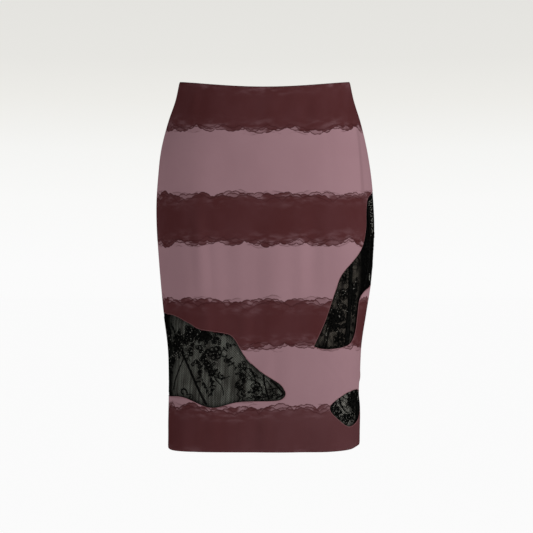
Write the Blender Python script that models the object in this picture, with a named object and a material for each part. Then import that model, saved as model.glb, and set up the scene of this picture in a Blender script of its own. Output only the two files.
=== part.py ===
"""A knee-length pencil skirt, filled out as worn but empty: a striped front and back panel, three
windows in the front with black lace behind them, and a plain dark underlay behind each lace.

Metres, +Z up. The origin is the middle of the waist, level with the top of the side seams. The
front faces -Y, and +X is the viewer's right. A place on the cloth is given in two ways: by its drop,
the distance below the waist edge, and by how far it lies around from the centre front.
"""

import bmesh
import bpy
import numpy as np

SIDE_LENGTH = 0.593
WAIST_DIP = 0.0195
DIP_POWER = 1.25
DIP_FADES_BY = 0.32

SHELL_WALL = 0.0012
LACE_WALL = 0.0010
UNDERLAY_WALL = 0.0010
LAYER_GAP = 0.0005
SEAM_GAP = 0.0003
LACE_ALLOWANCE = 0.008
UNDERLAY_ALLOWANCE = 0.012

FRONT_COLUMNS = 44
BACK_COLUMNS = 36
PANEL_ROWS = 28
OUTLINE_STEPS = 4

FORM_ROWS = 297
FORM_COLUMNS = 480
RING_STEPS = 1600
# Half the width of a panel laid flat, where every height is drawn equally wide.
FLAT_HALF = 0.24

# Horizontal sections of the skirt. Depths run from the side seams to the centre front and back,
# squareness is a superellipse's exponent, sway is how far the section sits to the right, and right
# ease is how much less square the front is right of its centre.
SECTION_COLUMNS = (
    "drop",
    "half_width",
    "front_depth",
    "front_squareness",
    "back_depth",
    "back_squareness",
    "sway",
    "right_ease",
)
SECTIONS = (
    (0.000, 0.1396, 0.0960, 2.30, 0.0990, 2.30, 0.0000, 0.0),
    (0.030, 0.1460, 0.0985, 2.30, 0.1040, 2.25, 0.0000, 0.0),
    (0.065, 0.1572, 0.1030, 2.35, 0.1115, 2.20, -0.0005, 0.0),
    (0.100, 0.1657, 0.1070, 2.40, 0.1195, 2.20, -0.0005, 0.0),
    (0.150, 0.1737, 0.1120, 2.45, 0.1280, 2.20, 0.0000, 0.0),
    (0.200, 0.1776, 0.1150, 2.50, 0.1315, 2.20, 0.0005, 0.0),
    (0.240, 0.1780, 0.1160, 2.55, 0.1305, 2.25, 0.0015, 0.0),
    (0.280, 0.1758, 0.1160, 2.60, 0.1270, 2.30, 0.0020, 0.0),
    (0.330, 0.1716, 0.1150, 2.75, 0.1215, 2.40, 0.0020, 0.0),
    (0.380, 0.1649, 0.1130, 2.95, 0.1160, 2.50, 0.0005, 0.0),
    (0.430, 0.1578, 0.1110, 3.20, 0.1120, 2.60, 0.0000, 0.1),
    (0.470, 0.1557, 0.1100, 3.50, 0.1105, 2.70, 0.0000, 0.4),
    (0.510, 0.1552, 0.1095, 3.80, 0.1100, 2.80, -0.0005, 0.8),
    (0.550, 0.1562, 0.1090, 4.10, 0.1100, 2.90, 0.0000, 1.1),
    (0.593, 0.1563, 0.1090, 4.40, 0.1100, 3.00, -0.0003, 1.3),
)

# Soft folds: each is a long low swelling (height over 0) or hollow (under 0) of the cloth. Around is
# measured round the skirt from the middle that it names, positive to the right as seen from there.
FOLD_COLUMNS = ("middle", "around", "drop", "half_width", "half_length", "height")
FOLDS = (
    ("front", -0.122, 0.320, 0.030, 0.120, 0.0016),
    ("front", -0.058, 0.440, 0.026, 0.130, -0.0014),
    ("front", 0.082, 0.300, 0.032, 0.120, -0.0015),
    ("front", 0.036, 0.470, 0.024, 0.120, 0.0010),
    ("front", 0.178, 0.130, 0.014, 0.090, -0.0010),
    ("right seam", -0.004, 0.500, 0.045, 0.028, -0.0030),
    ("back", -0.100, 0.330, 0.034, 0.140, -0.0018),
    ("back", -0.030, 0.450, 0.028, 0.130, 0.0014),
    ("back", 0.060, 0.360, 0.030, 0.120, -0.0014),
    ("back", 0.130, 0.470, 0.030, 0.110, 0.0012),
)

# Outlines of the windows, clockwise as seen. Corner is 1 where the edge turns sharply. The two that
# are open at the side seam run past it.
OUTLINE_COLUMNS = ("around", "drop", "corner")
LEFT_WINDOW = (
    (-0.270, 0.377, 1),
    (-0.165, 0.378, 0),
    (-0.124, 0.390, 0),
    (-0.104, 0.400, 0),
    (-0.072, 0.405, 0),
    (-0.050, 0.412, 0),
    (-0.029, 0.443, 0),
    (-0.004, 0.466, 0),
    (0.0245, 0.484, 0),
    (0.0335, 0.493, 0),
    (0.0370, 0.501, 0),
    (0.0340, 0.508, 0),
    (0.0210, 0.513, 0),
    (-0.036, 0.515, 0),
    (-0.080, 0.524, 0),
    (-0.128, 0.509, 0),
    (-0.180, 0.511, 0),
    (-0.270, 0.510, 1),
)
RIGHT_WINDOW = (
    (0.270, 0.165, 1),
    (0.208, 0.182, 0),
    (0.184, 0.192, 0),
    (0.176, 0.214, 0),
    (0.173, 0.244, 0),
    (0.160, 0.276, 0),
    (0.123, 0.313, 0),
    (0.111, 0.340, 0),
    (0.095, 0.388, 0),
    (0.077, 0.428, 1),
    (0.100, 0.433, 0),
    (0.139, 0.427, 0),
    (0.154, 0.409, 0),
    (0.158, 0.381, 0),
    (0.161, 0.355, 0),
    (0.174, 0.343, 0),
    (0.195, 0.337, 0),
    (0.270, 0.322, 1),
)
SMALL_WINDOW = (
    (0.170, 0.4985, 0),
    (0.140, 0.502, 0),
    (0.114, 0.516, 0),
    (0.108, 0.526, 0),
    (0.116, 0.538, 0),
    (0.142, 0.556, 0),
    (0.166, 0.5535, 0),
    (0.189, 0.543, 0),
    (0.204, 0.526, 0),
    (0.198, 0.506, 0),
)

BURGUNDY = (0.075, 0.020, 0.022)
MAUVE = (0.240, 0.140, 0.155)
LACE_BLACK = (0.006, 0.006, 0.006)
UNDERLAY_GREY = (0.030, 0.030, 0.026)
CLOTH_ROUGHNESS = 0.85
LACE_ROUGHNESS = 0.70


def clear_scene():
    for thing in list(bpy.data.objects):
        bpy.data.objects.remove(thing)


def column(table, columns, name):
    return np.array([row[columns.index(name)] for row in table])


def smooth_through(places, values, at):
    """A smooth curve through the values: cubics whose slopes are those of the neighbouring points."""
    slopes = np.gradient(values, places)
    index = np.clip(np.searchsorted(places, at) - 1, 0, len(places) - 2)
    span = places[index + 1] - places[index]
    part = (at - places[index]) / span
    start = (2 * part**3 - 3 * part**2 + 1) * values[index]
    leave = (part**3 - 2 * part**2 + part) * span * slopes[index]
    end = (3 * part**2 - 2 * part**3) * values[index + 1]
    arrive = (part**3 - part**2) * span * slopes[index + 1]
    return start + leave + end + arrive


def section(drops):
    """Each measure of the section at these drops, by name."""
    places = column(SECTIONS, SECTION_COLUMNS, "drop")
    return {
        name: smooth_through(places, column(SECTIONS, SECTION_COLUMNS, name), drops)
        for name in SECTION_COLUMNS[1:]
    }


def half_ring(measures, side, share):
    """Points of half a superellipse, evenly spaced by length: share runs from -1 at the left seam
    to 1 at the right one. It returns x, y without its sign, and half the length."""
    turn = np.linspace(0.0, np.pi, RING_STEPS)
    squareness = np.full_like(turn, measures[side + "_squareness"])
    if side == "front":
        squareness[turn > np.pi / 2] -= measures["right_ease"]
    power = 2.0 / squareness
    x = -measures["half_width"] * np.sign(np.cos(turn)) * np.abs(np.cos(turn)) ** power
    y = measures[side + "_depth"] * np.abs(np.sin(turn)) ** power
    length = np.append(0.0, np.cumsum(np.hypot(np.diff(x), np.diff(y))))
    half = length[-1] / 2
    at = (share + 1) * half
    return np.interp(at, length, x) + measures["sway"], np.interp(at, length, y), half


def fold_height(share, drop, front_half, back_half):
    """How far the soft folds lift the cloth at a drop, all round the skirt from the left seam: each
    is a raised cosine both ways. Share is that of one panel, and the halves are half their widths."""
    whole = 2 * (front_half + back_half)
    middles = {"front": front_half, "right seam": 2 * front_half, "back": whole - back_half}
    run = np.concatenate(((share + 1) * front_half, 2 * front_half + (share + 1) * back_half))
    total = np.zeros_like(run)
    for middle, around, level, half_width, half_length, height in FOLDS:
        away = (run - middles[middle] - around + whole / 2) % whole - whole / 2
        across = np.clip(np.abs(away) / half_width, 0, 1)
        along = np.clip(np.abs(drop - level) / half_length, 0, 1)
        total += height * (0.5 + 0.5 * np.cos(np.pi * across)) * (0.5 + 0.5 * np.cos(np.pi * along))
    return total


def normals_of(points):
    """Outward normals of a closed tube of points, rows down and columns round."""
    down = np.gradient(points, axis=0)
    round_it = np.roll(points, -1, axis=1) - np.roll(points, 1, axis=1)
    normals = np.cross(down, round_it)
    return normals / np.linalg.norm(normals, axis=2, keepdims=True)


def make_form():
    """The skirt's outer surface as a fine tube of points. Its columns run round from the left side
    seam: a quarter turn to the centre front, the right seam, the centre back and home again."""
    drops = np.linspace(0.0, SIDE_LENGTH, FORM_ROWS)
    half_columns = FORM_COLUMNS // 2
    share = np.linspace(-1.0, 1.0, half_columns, endpoint=False)
    points = np.zeros((FORM_ROWS, FORM_COLUMNS, 3))
    folds = np.zeros((FORM_ROWS, FORM_COLUMNS))
    halves = np.zeros((FORM_ROWS, 2))
    measures = section(drops)
    dip = WAIST_DIP * np.abs(np.cos(np.pi / 2 * share)) ** DIP_POWER
    fade = np.clip(1 - drops / DIP_FADES_BY, 0, 1) ** 2
    for row, drop in enumerate(drops):
        here = {name: values[row] for name, values in measures.items()}
        x, y, halves[row, 0] = half_ring(here, "front", share)
        points[row, :half_columns] = np.column_stack((x, -y, -drop - dip * fade[row]))
        x, y, halves[row, 1] = half_ring(here, "back", -share)
        points[row, half_columns:] = np.column_stack((x, y, np.full_like(x, -drop)))
        folds[row] = fold_height(share, drop, *halves[row])
    points = points + normals_of(points) * folds[:, :, None]
    return points, normals_of(points), halves


def on_form(form, panel, share, drop, out):
    """Points of a panel: share from -1 to 1 across it, left to right as seen from its own side,
    drop down it, and out along the cloth's outward normal."""
    points, normals, _ = form
    half_columns = FORM_COLUMNS // 2
    first = 0 if panel == "front" else half_columns
    col = first + (np.asarray(share) + 1) / 2 * half_columns
    row = np.clip(np.asarray(drop) / SIDE_LENGTH, 0, 1) * (FORM_ROWS - 1)
    c0 = np.floor(col).astype(int)
    r0 = np.minimum(np.floor(row).astype(int), FORM_ROWS - 2)
    across = (col - c0)[:, None]
    along = (row - r0)[:, None]
    c0 = c0 % FORM_COLUMNS
    c1 = (c0 + 1) % FORM_COLUMNS

    def blend(grid):
        upper = grid[r0, c0] * (1 - across) + grid[r0, c1] * across
        lower = grid[r0 + 1, c0] * (1 - across) + grid[r0 + 1, c1] * across
        return upper * (1 - along) + lower * along

    return blend(points) + blend(normals) * np.asarray(out)[:, None]


def half_girth(form, panel, drop):
    """Half the length of a panel across, from the middle to a side seam."""
    drops = np.linspace(0.0, SIDE_LENGTH, FORM_ROWS)
    return np.interp(drop, drops, form[2][:, 0 if panel == "front" else 1])


def outline_flat(form, table, allowance):
    """A window's outline on the flat front panel, moved outwards by an allowance: smooth between
    corners, with OUTLINE_STEPS points to each span. It is a Catmull-Rom curve, whose tangent at
    each point is along its two neighbours, and nought at a corner."""
    drop = column(table, OUTLINE_COLUMNS, "drop")
    share = column(table, OUTLINE_COLUMNS, "around") / half_girth(form, "front", drop)
    points = np.column_stack((share * FLAT_HALF, -drop))
    corner = column(table, OUTLINE_COLUMNS, "corner")
    tangent = (np.roll(points, -1, axis=0) - np.roll(points, 1, axis=0)) / 2
    tangent = tangent * (1 - corner)[:, None]
    following = np.roll(points, -1, axis=0)
    arriving = np.roll(tangent, -1, axis=0)
    spans = []
    for part in np.arange(OUTLINE_STEPS) / OUTLINE_STEPS:
        start = (2 * part**3 - 3 * part**2 + 1) * points + (part**3 - 2 * part**2 + part) * tangent
        end = (3 * part**2 - 2 * part**3) * following + (part**3 - part**2) * arriving
        spans.append(start + end)
    curve = np.stack(spans, axis=1).reshape(-1, 2)
    ahead = np.roll(curve, -1, axis=0) - np.roll(curve, 1, axis=0)
    sideways = np.column_stack((-ahead[:, 1], ahead[:, 0]))
    sideways /= np.linalg.norm(sideways, axis=1, keepdims=True)
    following = np.roll(curve, -1, axis=0)
    turning = np.sum(curve[:, 0] * following[:, 1] - following[:, 0] * curve[:, 1])
    return curve + sideways * (allowance if turning < 0 else -allowance)


def mesh_object(name, mesh, collection):
    thing = bpy.data.objects.new(name, mesh)
    collection.objects.link(thing)
    return thing


def flat_slab(name, collection, columns, seam_share, top, thickness):
    """A flat panel as a gridded slab, its upper face at height top."""
    work = bmesh.new()
    bmesh.ops.create_grid(work, x_segments=columns, y_segments=PANEL_ROWS, size=1.0)
    for vert in work.verts:
        vert.co.x *= seam_share * FLAT_HALF
        vert.co.y = (vert.co.y - 1) / 2 * SIDE_LENGTH
        vert.co.z = top
    lower = bmesh.ops.extrude_face_region(work, geom=work.faces[:])
    moved = [item for item in lower["geom"] if isinstance(item, bmesh.types.BMVert)]
    bmesh.ops.translate(work, verts=moved, vec=(0.0, 0.0, -thickness))
    bmesh.ops.recalc_face_normals(work, faces=work.faces[:])
    mesh = bpy.data.meshes.new(name)
    work.to_mesh(mesh)
    work.free()
    return mesh_object(name, mesh, collection)


def prism(name, collection, outline, depth):
    """A cutter: the outline as an upright prism that runs past both faces of a flat panel."""
    work = bmesh.new()
    verts = [work.verts.new((x, y, depth)) for x, y in outline]
    lid = work.faces.new(verts)
    lower = bmesh.ops.extrude_face_region(work, geom=[lid])
    moved = [item for item in lower["geom"] if isinstance(item, bmesh.types.BMVert)]
    bmesh.ops.translate(work, verts=moved, vec=(0.0, 0.0, -2 * depth))
    bmesh.ops.recalc_face_normals(work, faces=work.faces[:])
    mesh = bpy.data.meshes.new(name)
    work.to_mesh(mesh)
    work.free()
    thing = mesh_object(name, mesh, collection)
    thing.hide_render = True
    thing.display_type = "WIRE"
    return thing


def cut(thing, cutter, operation):
    modifier = thing.modifiers.new(f"{operation.lower()} {cutter.name}", "BOOLEAN")
    modifier.object = cutter
    modifier.operation = operation
    modifier.solver = "EXACT"


def wrap(form, thing, panel):
    """The flat piece after its cuts, with every point carried onto the skirt's form."""
    bpy.context.view_layer.update()
    graph = bpy.context.evaluated_depsgraph_get()
    mesh = bpy.data.meshes.new_from_object(thing.evaluated_get(graph))
    thing.modifiers.clear()
    flat = np.empty(len(mesh.vertices) * 3)
    mesh.vertices.foreach_get("co", flat)
    flat = flat.reshape(-1, 3)
    worn = on_form(form, panel, flat[:, 0] / FLAT_HALF, -flat[:, 1], flat[:, 2])
    mesh.vertices.foreach_set("co", worn.ravel())
    mesh.update()
    thing.data = mesh
    mesh.shade_smooth()
    mesh.set_sharp_from_angle(angle=np.radians(50))


def finish(name, color, roughness):
    """A cloth material of one colour."""
    material = bpy.data.materials.new(name)
    material.use_nodes = True
    shader = material.node_tree.nodes["Principled BSDF"]
    shader.inputs["Base Color"].default_value = (*color, 1.0)
    shader.inputs["Roughness"].default_value = roughness
    shader.inputs["Metallic"].default_value = 0.0
    material.diffuse_color = (*color, 1.0)
    return material


def main():
    clear_scene()
    scene_root = bpy.context.scene.collection
    skirt = bpy.data.collections.new("pencil_skirt")
    cutters = bpy.data.collections.new("cutters")
    scene_root.children.link(skirt)
    scene_root.children.link(cutters)
    form = make_form()
    seam_share = 1 - SEAM_GAP / 2 / half_girth(form, "front", SIDE_LENGTH / 2)

    mauve = finish("striped cloth front", MAUVE, CLOTH_ROUGHNESS)
    burgundy = finish("striped cloth back", BURGUNDY, CLOTH_ROUGHNESS)
    lace = finish("black lace", LACE_BLACK, LACE_ROUGHNESS)
    underlay = finish("dark underlay", UNDERLAY_GREY, CLOTH_ROUGHNESS)

    back = flat_slab("back_panel", skirt, BACK_COLUMNS, seam_share, 0.0, SHELL_WALL)
    back.data.materials.append(burgundy)
    wrap(form, back, "back")

    front = flat_slab("front_panel", skirt, FRONT_COLUMNS, seam_share, 0.0, SHELL_WALL)
    front.data.materials.append(mauve)
    lace_top = -SHELL_WALL - LAYER_GAP
    underlay_top = lace_top - LACE_WALL - LAYER_GAP
    windows = (("left", LEFT_WINDOW), ("right", RIGHT_WINDOW), ("small", SMALL_WINDOW))
    layers = (
        ("lace", lace_top, LACE_WALL, LACE_ALLOWANCE, lace),
        ("underlay", underlay_top, UNDERLAY_WALL, UNDERLAY_ALLOWANCE, underlay),
    )
    for place, table in windows:
        outline = outline_flat(form, table, 0.0)
        cut(front, prism(f"window_{place}", cutters, outline, 5 * SHELL_WALL), "DIFFERENCE")
        for layer, top, wall, allowance, material in layers:
            piece = flat_slab(f"{layer}_{place}", skirt, FRONT_COLUMNS, seam_share, top, wall)
            piece.data.materials.append(material)
            wider = outline_flat(form, table, allowance)
            cutter = prism(f"{layer}_{place}_outline", cutters, wider, 10 * SHELL_WALL)
            cut(piece, cutter, "INTERSECT")
            wrap(form, piece, "front")
    wrap(form, front, "front")


main()
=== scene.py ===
# %% [markdown]
# # A striped pencil skirt with lace windows
#
# The real skirt is a tube of matt jersey with wide stripes whose edges look like torn, frilled
# cloth. Three curved windows in its front are filled with black lace on a dark backing. It is shown
# filled out, with nobody in it. The imported model holds each cut piece as a plain solid, and this
# lesson dresses those solids: fine shells for the cloth, threads for the lace, then finishes,
# light and camera.
#
# The first cell loads the imported model.

import bpy
import numpy as np
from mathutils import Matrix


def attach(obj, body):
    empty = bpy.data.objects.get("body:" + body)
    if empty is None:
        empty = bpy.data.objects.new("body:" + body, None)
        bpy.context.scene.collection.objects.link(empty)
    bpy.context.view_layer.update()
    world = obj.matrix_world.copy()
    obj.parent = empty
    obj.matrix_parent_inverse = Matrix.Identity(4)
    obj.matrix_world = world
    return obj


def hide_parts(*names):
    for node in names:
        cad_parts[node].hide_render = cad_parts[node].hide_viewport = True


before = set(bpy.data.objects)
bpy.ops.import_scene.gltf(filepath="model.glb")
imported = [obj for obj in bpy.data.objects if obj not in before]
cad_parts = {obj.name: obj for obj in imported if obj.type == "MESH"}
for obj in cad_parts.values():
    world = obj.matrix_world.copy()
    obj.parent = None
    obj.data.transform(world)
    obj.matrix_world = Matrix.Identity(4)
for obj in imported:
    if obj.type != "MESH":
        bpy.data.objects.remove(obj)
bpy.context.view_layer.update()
print("nodes:", ", ".join(sorted(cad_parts)))

# %% [markdown]
# ## The form of the worn skirt
#
# A worn skirt is a tube that changes from section to section: round at the waist, widest at the hip
# and squarer at the hem, where the cloth hangs free. It could be sculpted or simulated, but a short
# table of sections is easier to read and to correct. Each row gives the size of one section, and a
# smooth curve runs through the rows. A section is a superellipse: an oval whose corners get squarer
# as its exponent grows.

# %% Sections of the skirt
SIDE_LENGTH = 0.593
WAIST_DIP = 0.0195
DIP_POWER = 1.25
DIP_FADES_BY = 0.32
SHELL_WALL = 0.0012
HIP_DROP = 0.22

SECTION_COLUMNS = ("drop", "half_width", "front_depth", "front_squareness", "back_depth",
                   "back_squareness", "sway", "right_ease")
SECTIONS = np.array((
    (0.000, 0.1396, 0.0960, 2.30, 0.0990, 2.30, 0.0000, 0.0),
    (0.030, 0.1460, 0.0985, 2.30, 0.1040, 2.25, 0.0000, 0.0),
    (0.065, 0.1572, 0.1030, 2.35, 0.1115, 2.20, -0.0005, 0.0),
    (0.100, 0.1657, 0.1070, 2.40, 0.1195, 2.20, -0.0005, 0.0),
    (0.150, 0.1737, 0.1120, 2.45, 0.1280, 2.20, 0.0000, 0.0),
    (0.200, 0.1776, 0.1150, 2.50, 0.1315, 2.20, 0.0005, 0.0),
    (0.240, 0.1780, 0.1160, 2.55, 0.1305, 2.25, 0.0015, 0.0),
    (0.280, 0.1758, 0.1160, 2.60, 0.1270, 2.30, 0.0020, 0.0),
    (0.330, 0.1716, 0.1150, 2.75, 0.1215, 2.40, 0.0020, 0.0),
    (0.380, 0.1649, 0.1130, 2.95, 0.1160, 2.50, 0.0005, 0.0),
    (0.430, 0.1578, 0.1110, 3.20, 0.1120, 2.60, 0.0000, 0.1),
    (0.470, 0.1557, 0.1100, 3.50, 0.1105, 2.70, 0.0000, 0.4),
    (0.510, 0.1552, 0.1095, 3.80, 0.1100, 2.80, -0.0005, 0.8),
    (0.550, 0.1562, 0.1090, 4.10, 0.1100, 2.90, 0.0000, 1.1),
    (0.593, 0.1563, 0.1090, 4.40, 0.1100, 3.00, -0.0003, 1.3),
))


def cubic(part, start, leave, end, arrive, span=1.0):
    """A cubic that goes from start to end as part goes from 0 to 1, with the slopes that it leaves
    and arrives with, over a span of this length."""
    return (
        (2 * part**3 - 3 * part**2 + 1) * start
        + (part**3 - 2 * part**2 + part) * span * leave
        + (3 * part**2 - 2 * part**3) * end
        + (part**3 - part**2) * span * arrive
    )


def smooth_through(places, values, at):
    """Cubics between neighbouring rows, each leaving and arriving with the slope of its neighbours."""
    slopes = np.gradient(values, places)
    index = np.clip(np.searchsorted(places, at) - 1, 0, len(places) - 2)
    span = places[index + 1] - places[index]
    part = (at - places[index]) / span
    return cubic(part, values[index], slopes[index], values[index + 1], slopes[index + 1], span)


def section(drops):
    """Each measure of the section at these drops, by name."""
    return {
        name: smooth_through(SECTIONS[:, 0], SECTIONS[:, column], drops)
        for column, name in enumerate(SECTION_COLUMNS)
        if name != "drop"
    }


print("hip breadth, mm:", round(2000 * float(section(np.array([HIP_DROP]))["half_width"][0]), 1))

# %% [markdown]
# ## Folds and creases
#
# Filled-out cloth is never quite smooth. Long soft swellings run down it, and short shallow creases
# pull across it where a seam or a window holds it. They could come from a cloth simulation, but the
# skirt is held out all round, so there is little to simulate. A table that places each one is
# quicker and stays the same on each run. The first table holds the soft folds that the solids have
# too. The second holds what only this script has: finer creases, which may run at a slant, and the
# low waves and dents near the waist and the hem.

# %% Tables of folds and creases
FOLDS = (
    # middle, around, drop, half_width, half_length, height
    ("front", -0.122, 0.320, 0.030, 0.120, 0.0016),
    ("front", -0.058, 0.440, 0.026, 0.130, -0.0014),
    ("front", 0.082, 0.300, 0.032, 0.120, -0.0015),
    ("front", 0.036, 0.470, 0.024, 0.120, 0.0010),
    ("front", 0.178, 0.130, 0.014, 0.090, -0.0010),
    ("right seam", -0.004, 0.500, 0.045, 0.028, -0.0030),
    ("back", -0.100, 0.330, 0.034, 0.140, -0.0018),
    ("back", -0.030, 0.450, 0.028, 0.130, 0.0014),
    ("back", 0.060, 0.360, 0.030, 0.120, -0.0014),
    ("back", 0.130, 0.470, 0.030, 0.110, 0.0012),
)
CREASES = (
    # middle, around, drop, half_width, half_length, height, slant in degrees
    ("front", -0.118, 0.030, 0.016, 0.050, 0.0018, 0),
    ("front", 0.008, 0.040, 0.028, 0.055, 0.0018, 0),
    ("front", 0.068, 0.045, 0.018, 0.055, -0.0018, 0),
    ("front", -0.178, 0.130, 0.046, 0.070, 0.0040, 0),
    ("front", -0.062, 0.140, 0.056, 0.080, -0.0034, -3),
    ("front", 0.105, 0.110, 0.012, 0.080, -0.0006, -5),
    ("front", -0.103, 0.290, 0.018, 0.130, 0.0038, -4),
    ("front", -0.060, 0.310, 0.022, 0.150, -0.0016, -2),
    ("front", 0.014, 0.320, 0.032, 0.140, 0.0034, 0),
    ("front", 0.074, 0.290, 0.022, 0.105, -0.0042, 0),
    ("front", -0.090, 0.400, 0.015, 0.060, 0.0020, -4),
    ("front", -0.030, 0.395, 0.014, 0.050, 0.0013, 0),
    ("front", 0.004, 0.470, 0.018, 0.060, 0.0014, -6),
    ("front", 0.1725, 0.134, 0.0050, 0.068, -0.0022, -5),
    ("front", 0.130, 0.225, 0.008, 0.060, 0.0006, -12),
    ("front", 0.052, 0.380, 0.010, 0.070, -0.0006, -16),
    ("front", -0.175, 0.300, 0.009, 0.075, -0.0006, 8),
    ("front", 0.098, 0.300, 0.026, 0.085, -0.0022, 0),
    ("front", 0.120, 0.470, 0.008, 0.045, 0.0007, -38),
    ("front", 0.165, 0.455, 0.006, 0.040, -0.0007, -52),
    ("front", 0.030, 0.578, 0.050, 0.055, 0.0030, 0),
    ("front", 0.104, 0.593, 0.045, 0.060, 0.0050, 0),
    ("front", 0.182, 0.593, 0.050, 0.060, -0.0060, 0),
    ("front", -0.135, 0.593, 0.035, 0.050, 0.0025, 0),
    ("front", -0.200, 0.593, 0.026, 0.040, -0.0030, 0),
    ("front", 0.006, 0.560, 0.014, 0.050, 0.0014, 0),
    ("front", -0.032, 0.565, 0.010, 0.045, 0.0008, 0),
    ("front", -0.076, 0.555, 0.016, 0.055, 0.0016, 0),
    ("front", -0.110, 0.560, 0.014, 0.055, -0.0008, -3),
    ("front", -0.010, 0.560, 0.010, 0.050, -0.0006, 5),
    ("right seam", 0.000, 0.5035, 0.024, 0.009, -0.0030, 0),
    ("right seam", 0.000, 0.487, 0.034, 0.022, 0.0030, 0),
    ("right seam", 0.020, 0.440, 0.010, 0.060, -0.0010, 14),
    ("back", -0.150, 0.110, 0.012, 0.080, -0.0007, 5),
    ("back", -0.060, 0.130, 0.016, 0.100, 0.0006, -3),
    ("back", 0.030, 0.160, 0.016, 0.110, -0.0007, 2),
    ("back", 0.120, 0.120, 0.012, 0.085, -0.0006, -6),
    ("back", -0.170, 0.300, 0.009, 0.070, 0.0006, 8),
    ("back", 0.000, 0.300, 0.014, 0.090, -0.0007, -4),
    ("back", 0.110, 0.250, 0.010, 0.070, 0.0006, 9),
    ("back", -0.080, 0.520, 0.012, 0.060, 0.0008, -4),
    ("back", 0.020, 0.550, 0.012, 0.055, -0.0008, 3),
    ("back", 0.090, 0.540, 0.010, 0.050, 0.0007, 6),
)


def swell(share):
    """A raised cosine: 1 in the middle, and nought at 1 and past it."""
    return 0.5 + 0.5 * np.cos(np.pi * np.clip(np.abs(share), 0, 1))


def crease_height(run, drop, middles, whole):
    """The sum of all folds: each is a raised cosine across its width times one along its length."""
    total = np.zeros_like(run)
    level_folds = [(*fold, 0) for fold in FOLDS]
    for middle, around, level, half_width, half_length, height, slant in [*level_folds, *CREASES]:
        away = (run - middles[middle] - around + whole / 2) % whole - whole / 2
        down = drop - level
        c, s = np.cos(np.radians(slant)), np.sin(np.radians(slant))
        across, along = away * c + down * s, down * c - away * s
        total += height * swell(across / half_width) * swell(along / half_length)
    return total


print("folds and creases:", len(FOLDS) + len(CREASES))

# %% [markdown]
# ## One fine tube to place everything on
#
# Every piece of the skirt lies on the same form, only a little further in or out. So the form is
# worked out once, as a fine tube of points with a normal at each. A place on it is given as a tailor
# would give it: how far around from the centre line of a panel, how far down from the waist, and how
# far out from the cloth's outer face.

# %% The form
FORM_ROWS = 297
FORM_COLUMNS = 480
RING_STEPS = 1600
ROW_SPACING = 10.0


def half_rings(measures, side, share):
    """Half a superellipse for every row at once, with points evenly spaced by length. A turn from 0
    to pi gives x = -width * cos ** (2 / squareness) and y = depth * sin ** (2 / squareness). Lengths
    are added up along each row, and looked up for all rows together, each row lifted clear of the
    last."""
    turn = np.linspace(0, np.pi, RING_STEPS)[None, :]
    ease = measures["right_ease"][:, None] * (turn > np.pi / 2) if side == "front" else 0.0
    power = 2 / (measures[side + "_squareness"][:, None] - ease)
    x = -measures["half_width"][:, None] * np.sign(np.cos(turn)) * np.abs(np.cos(turn)) ** power
    y = measures[side + "_depth"][:, None] * np.abs(np.sin(turn)) ** power
    steps = np.hypot(np.diff(x, axis=1), np.diff(y, axis=1))
    length = np.hstack((np.zeros((len(x), 1)), np.cumsum(steps, axis=1)))
    half = length[:, -1] / 2
    lift = ROW_SPACING * np.arange(len(x))[:, None]
    at = ((share + 1)[None, :] * half[:, None] + lift).ravel()
    known = (length + lift).ravel()
    found = [np.interp(at, known, values.ravel()).reshape(len(x), -1) for values in (x, y)]
    return found[0] + measures["sway"][:, None], found[1], half


def tube_normals(points):
    """Outward normals of the tube: the step down crossed with the step round."""
    down = np.gradient(points, axis=0)
    round_it = np.roll(points, -1, axis=1) - np.roll(points, 1, axis=1)
    normals = np.cross(down, round_it)
    return normals / np.linalg.norm(normals, axis=2, keepdims=True)


def make_form():
    """The outer face of the skirt: columns run from the left side seam over the centre front to the
    right seam and over the centre back home again. The front dips at the waist, and the folds lift
    the points along their normals."""
    drops = np.linspace(0, SIDE_LENGTH, FORM_ROWS)
    share = np.linspace(-1, 1, FORM_COLUMNS // 2, endpoint=False)
    measures = section(drops)
    fade = np.clip(1 - drops / DIP_FADES_BY, 0, 1)[:, None] ** 2
    level = np.repeat(-drops[:, None], len(share), axis=1)
    x, y, front_half = half_rings(measures, "front", share)
    dip = WAIST_DIP * np.abs(np.cos(np.pi / 2 * share))[None, :] ** DIP_POWER
    front = np.stack((x, -y, level - dip * fade), axis=2)
    x, y, back_half = half_rings(measures, "back", -share)
    points = np.concatenate((front, np.stack((x, y, level), axis=2)), axis=1)
    front_half, back_half = front_half[:, None], back_half[:, None]
    whole = 2 * (front_half + back_half)
    middles = {"front": front_half, "right seam": 2 * front_half, "back": whole - back_half}
    run = np.hstack(((share + 1) * front_half, 2 * front_half + (share + 1) * back_half))
    lift = crease_height(run, drops[:, None], middles, whole)
    points = points + tube_normals(points) * lift[:, :, None]
    halves = {"front": front_half[:, 0], "back": back_half[:, 0]}
    return points, tube_normals(points), halves, drops


FORM_POINTS, FORM_NORMALS, HALF_GIRTHS, FORM_DROPS = make_form()


def half_girth(panel, drop):
    """Half the breadth of a panel along the cloth, at a drop."""
    return np.interp(drop, FORM_DROPS, HALF_GIRTHS[panel])


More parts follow.
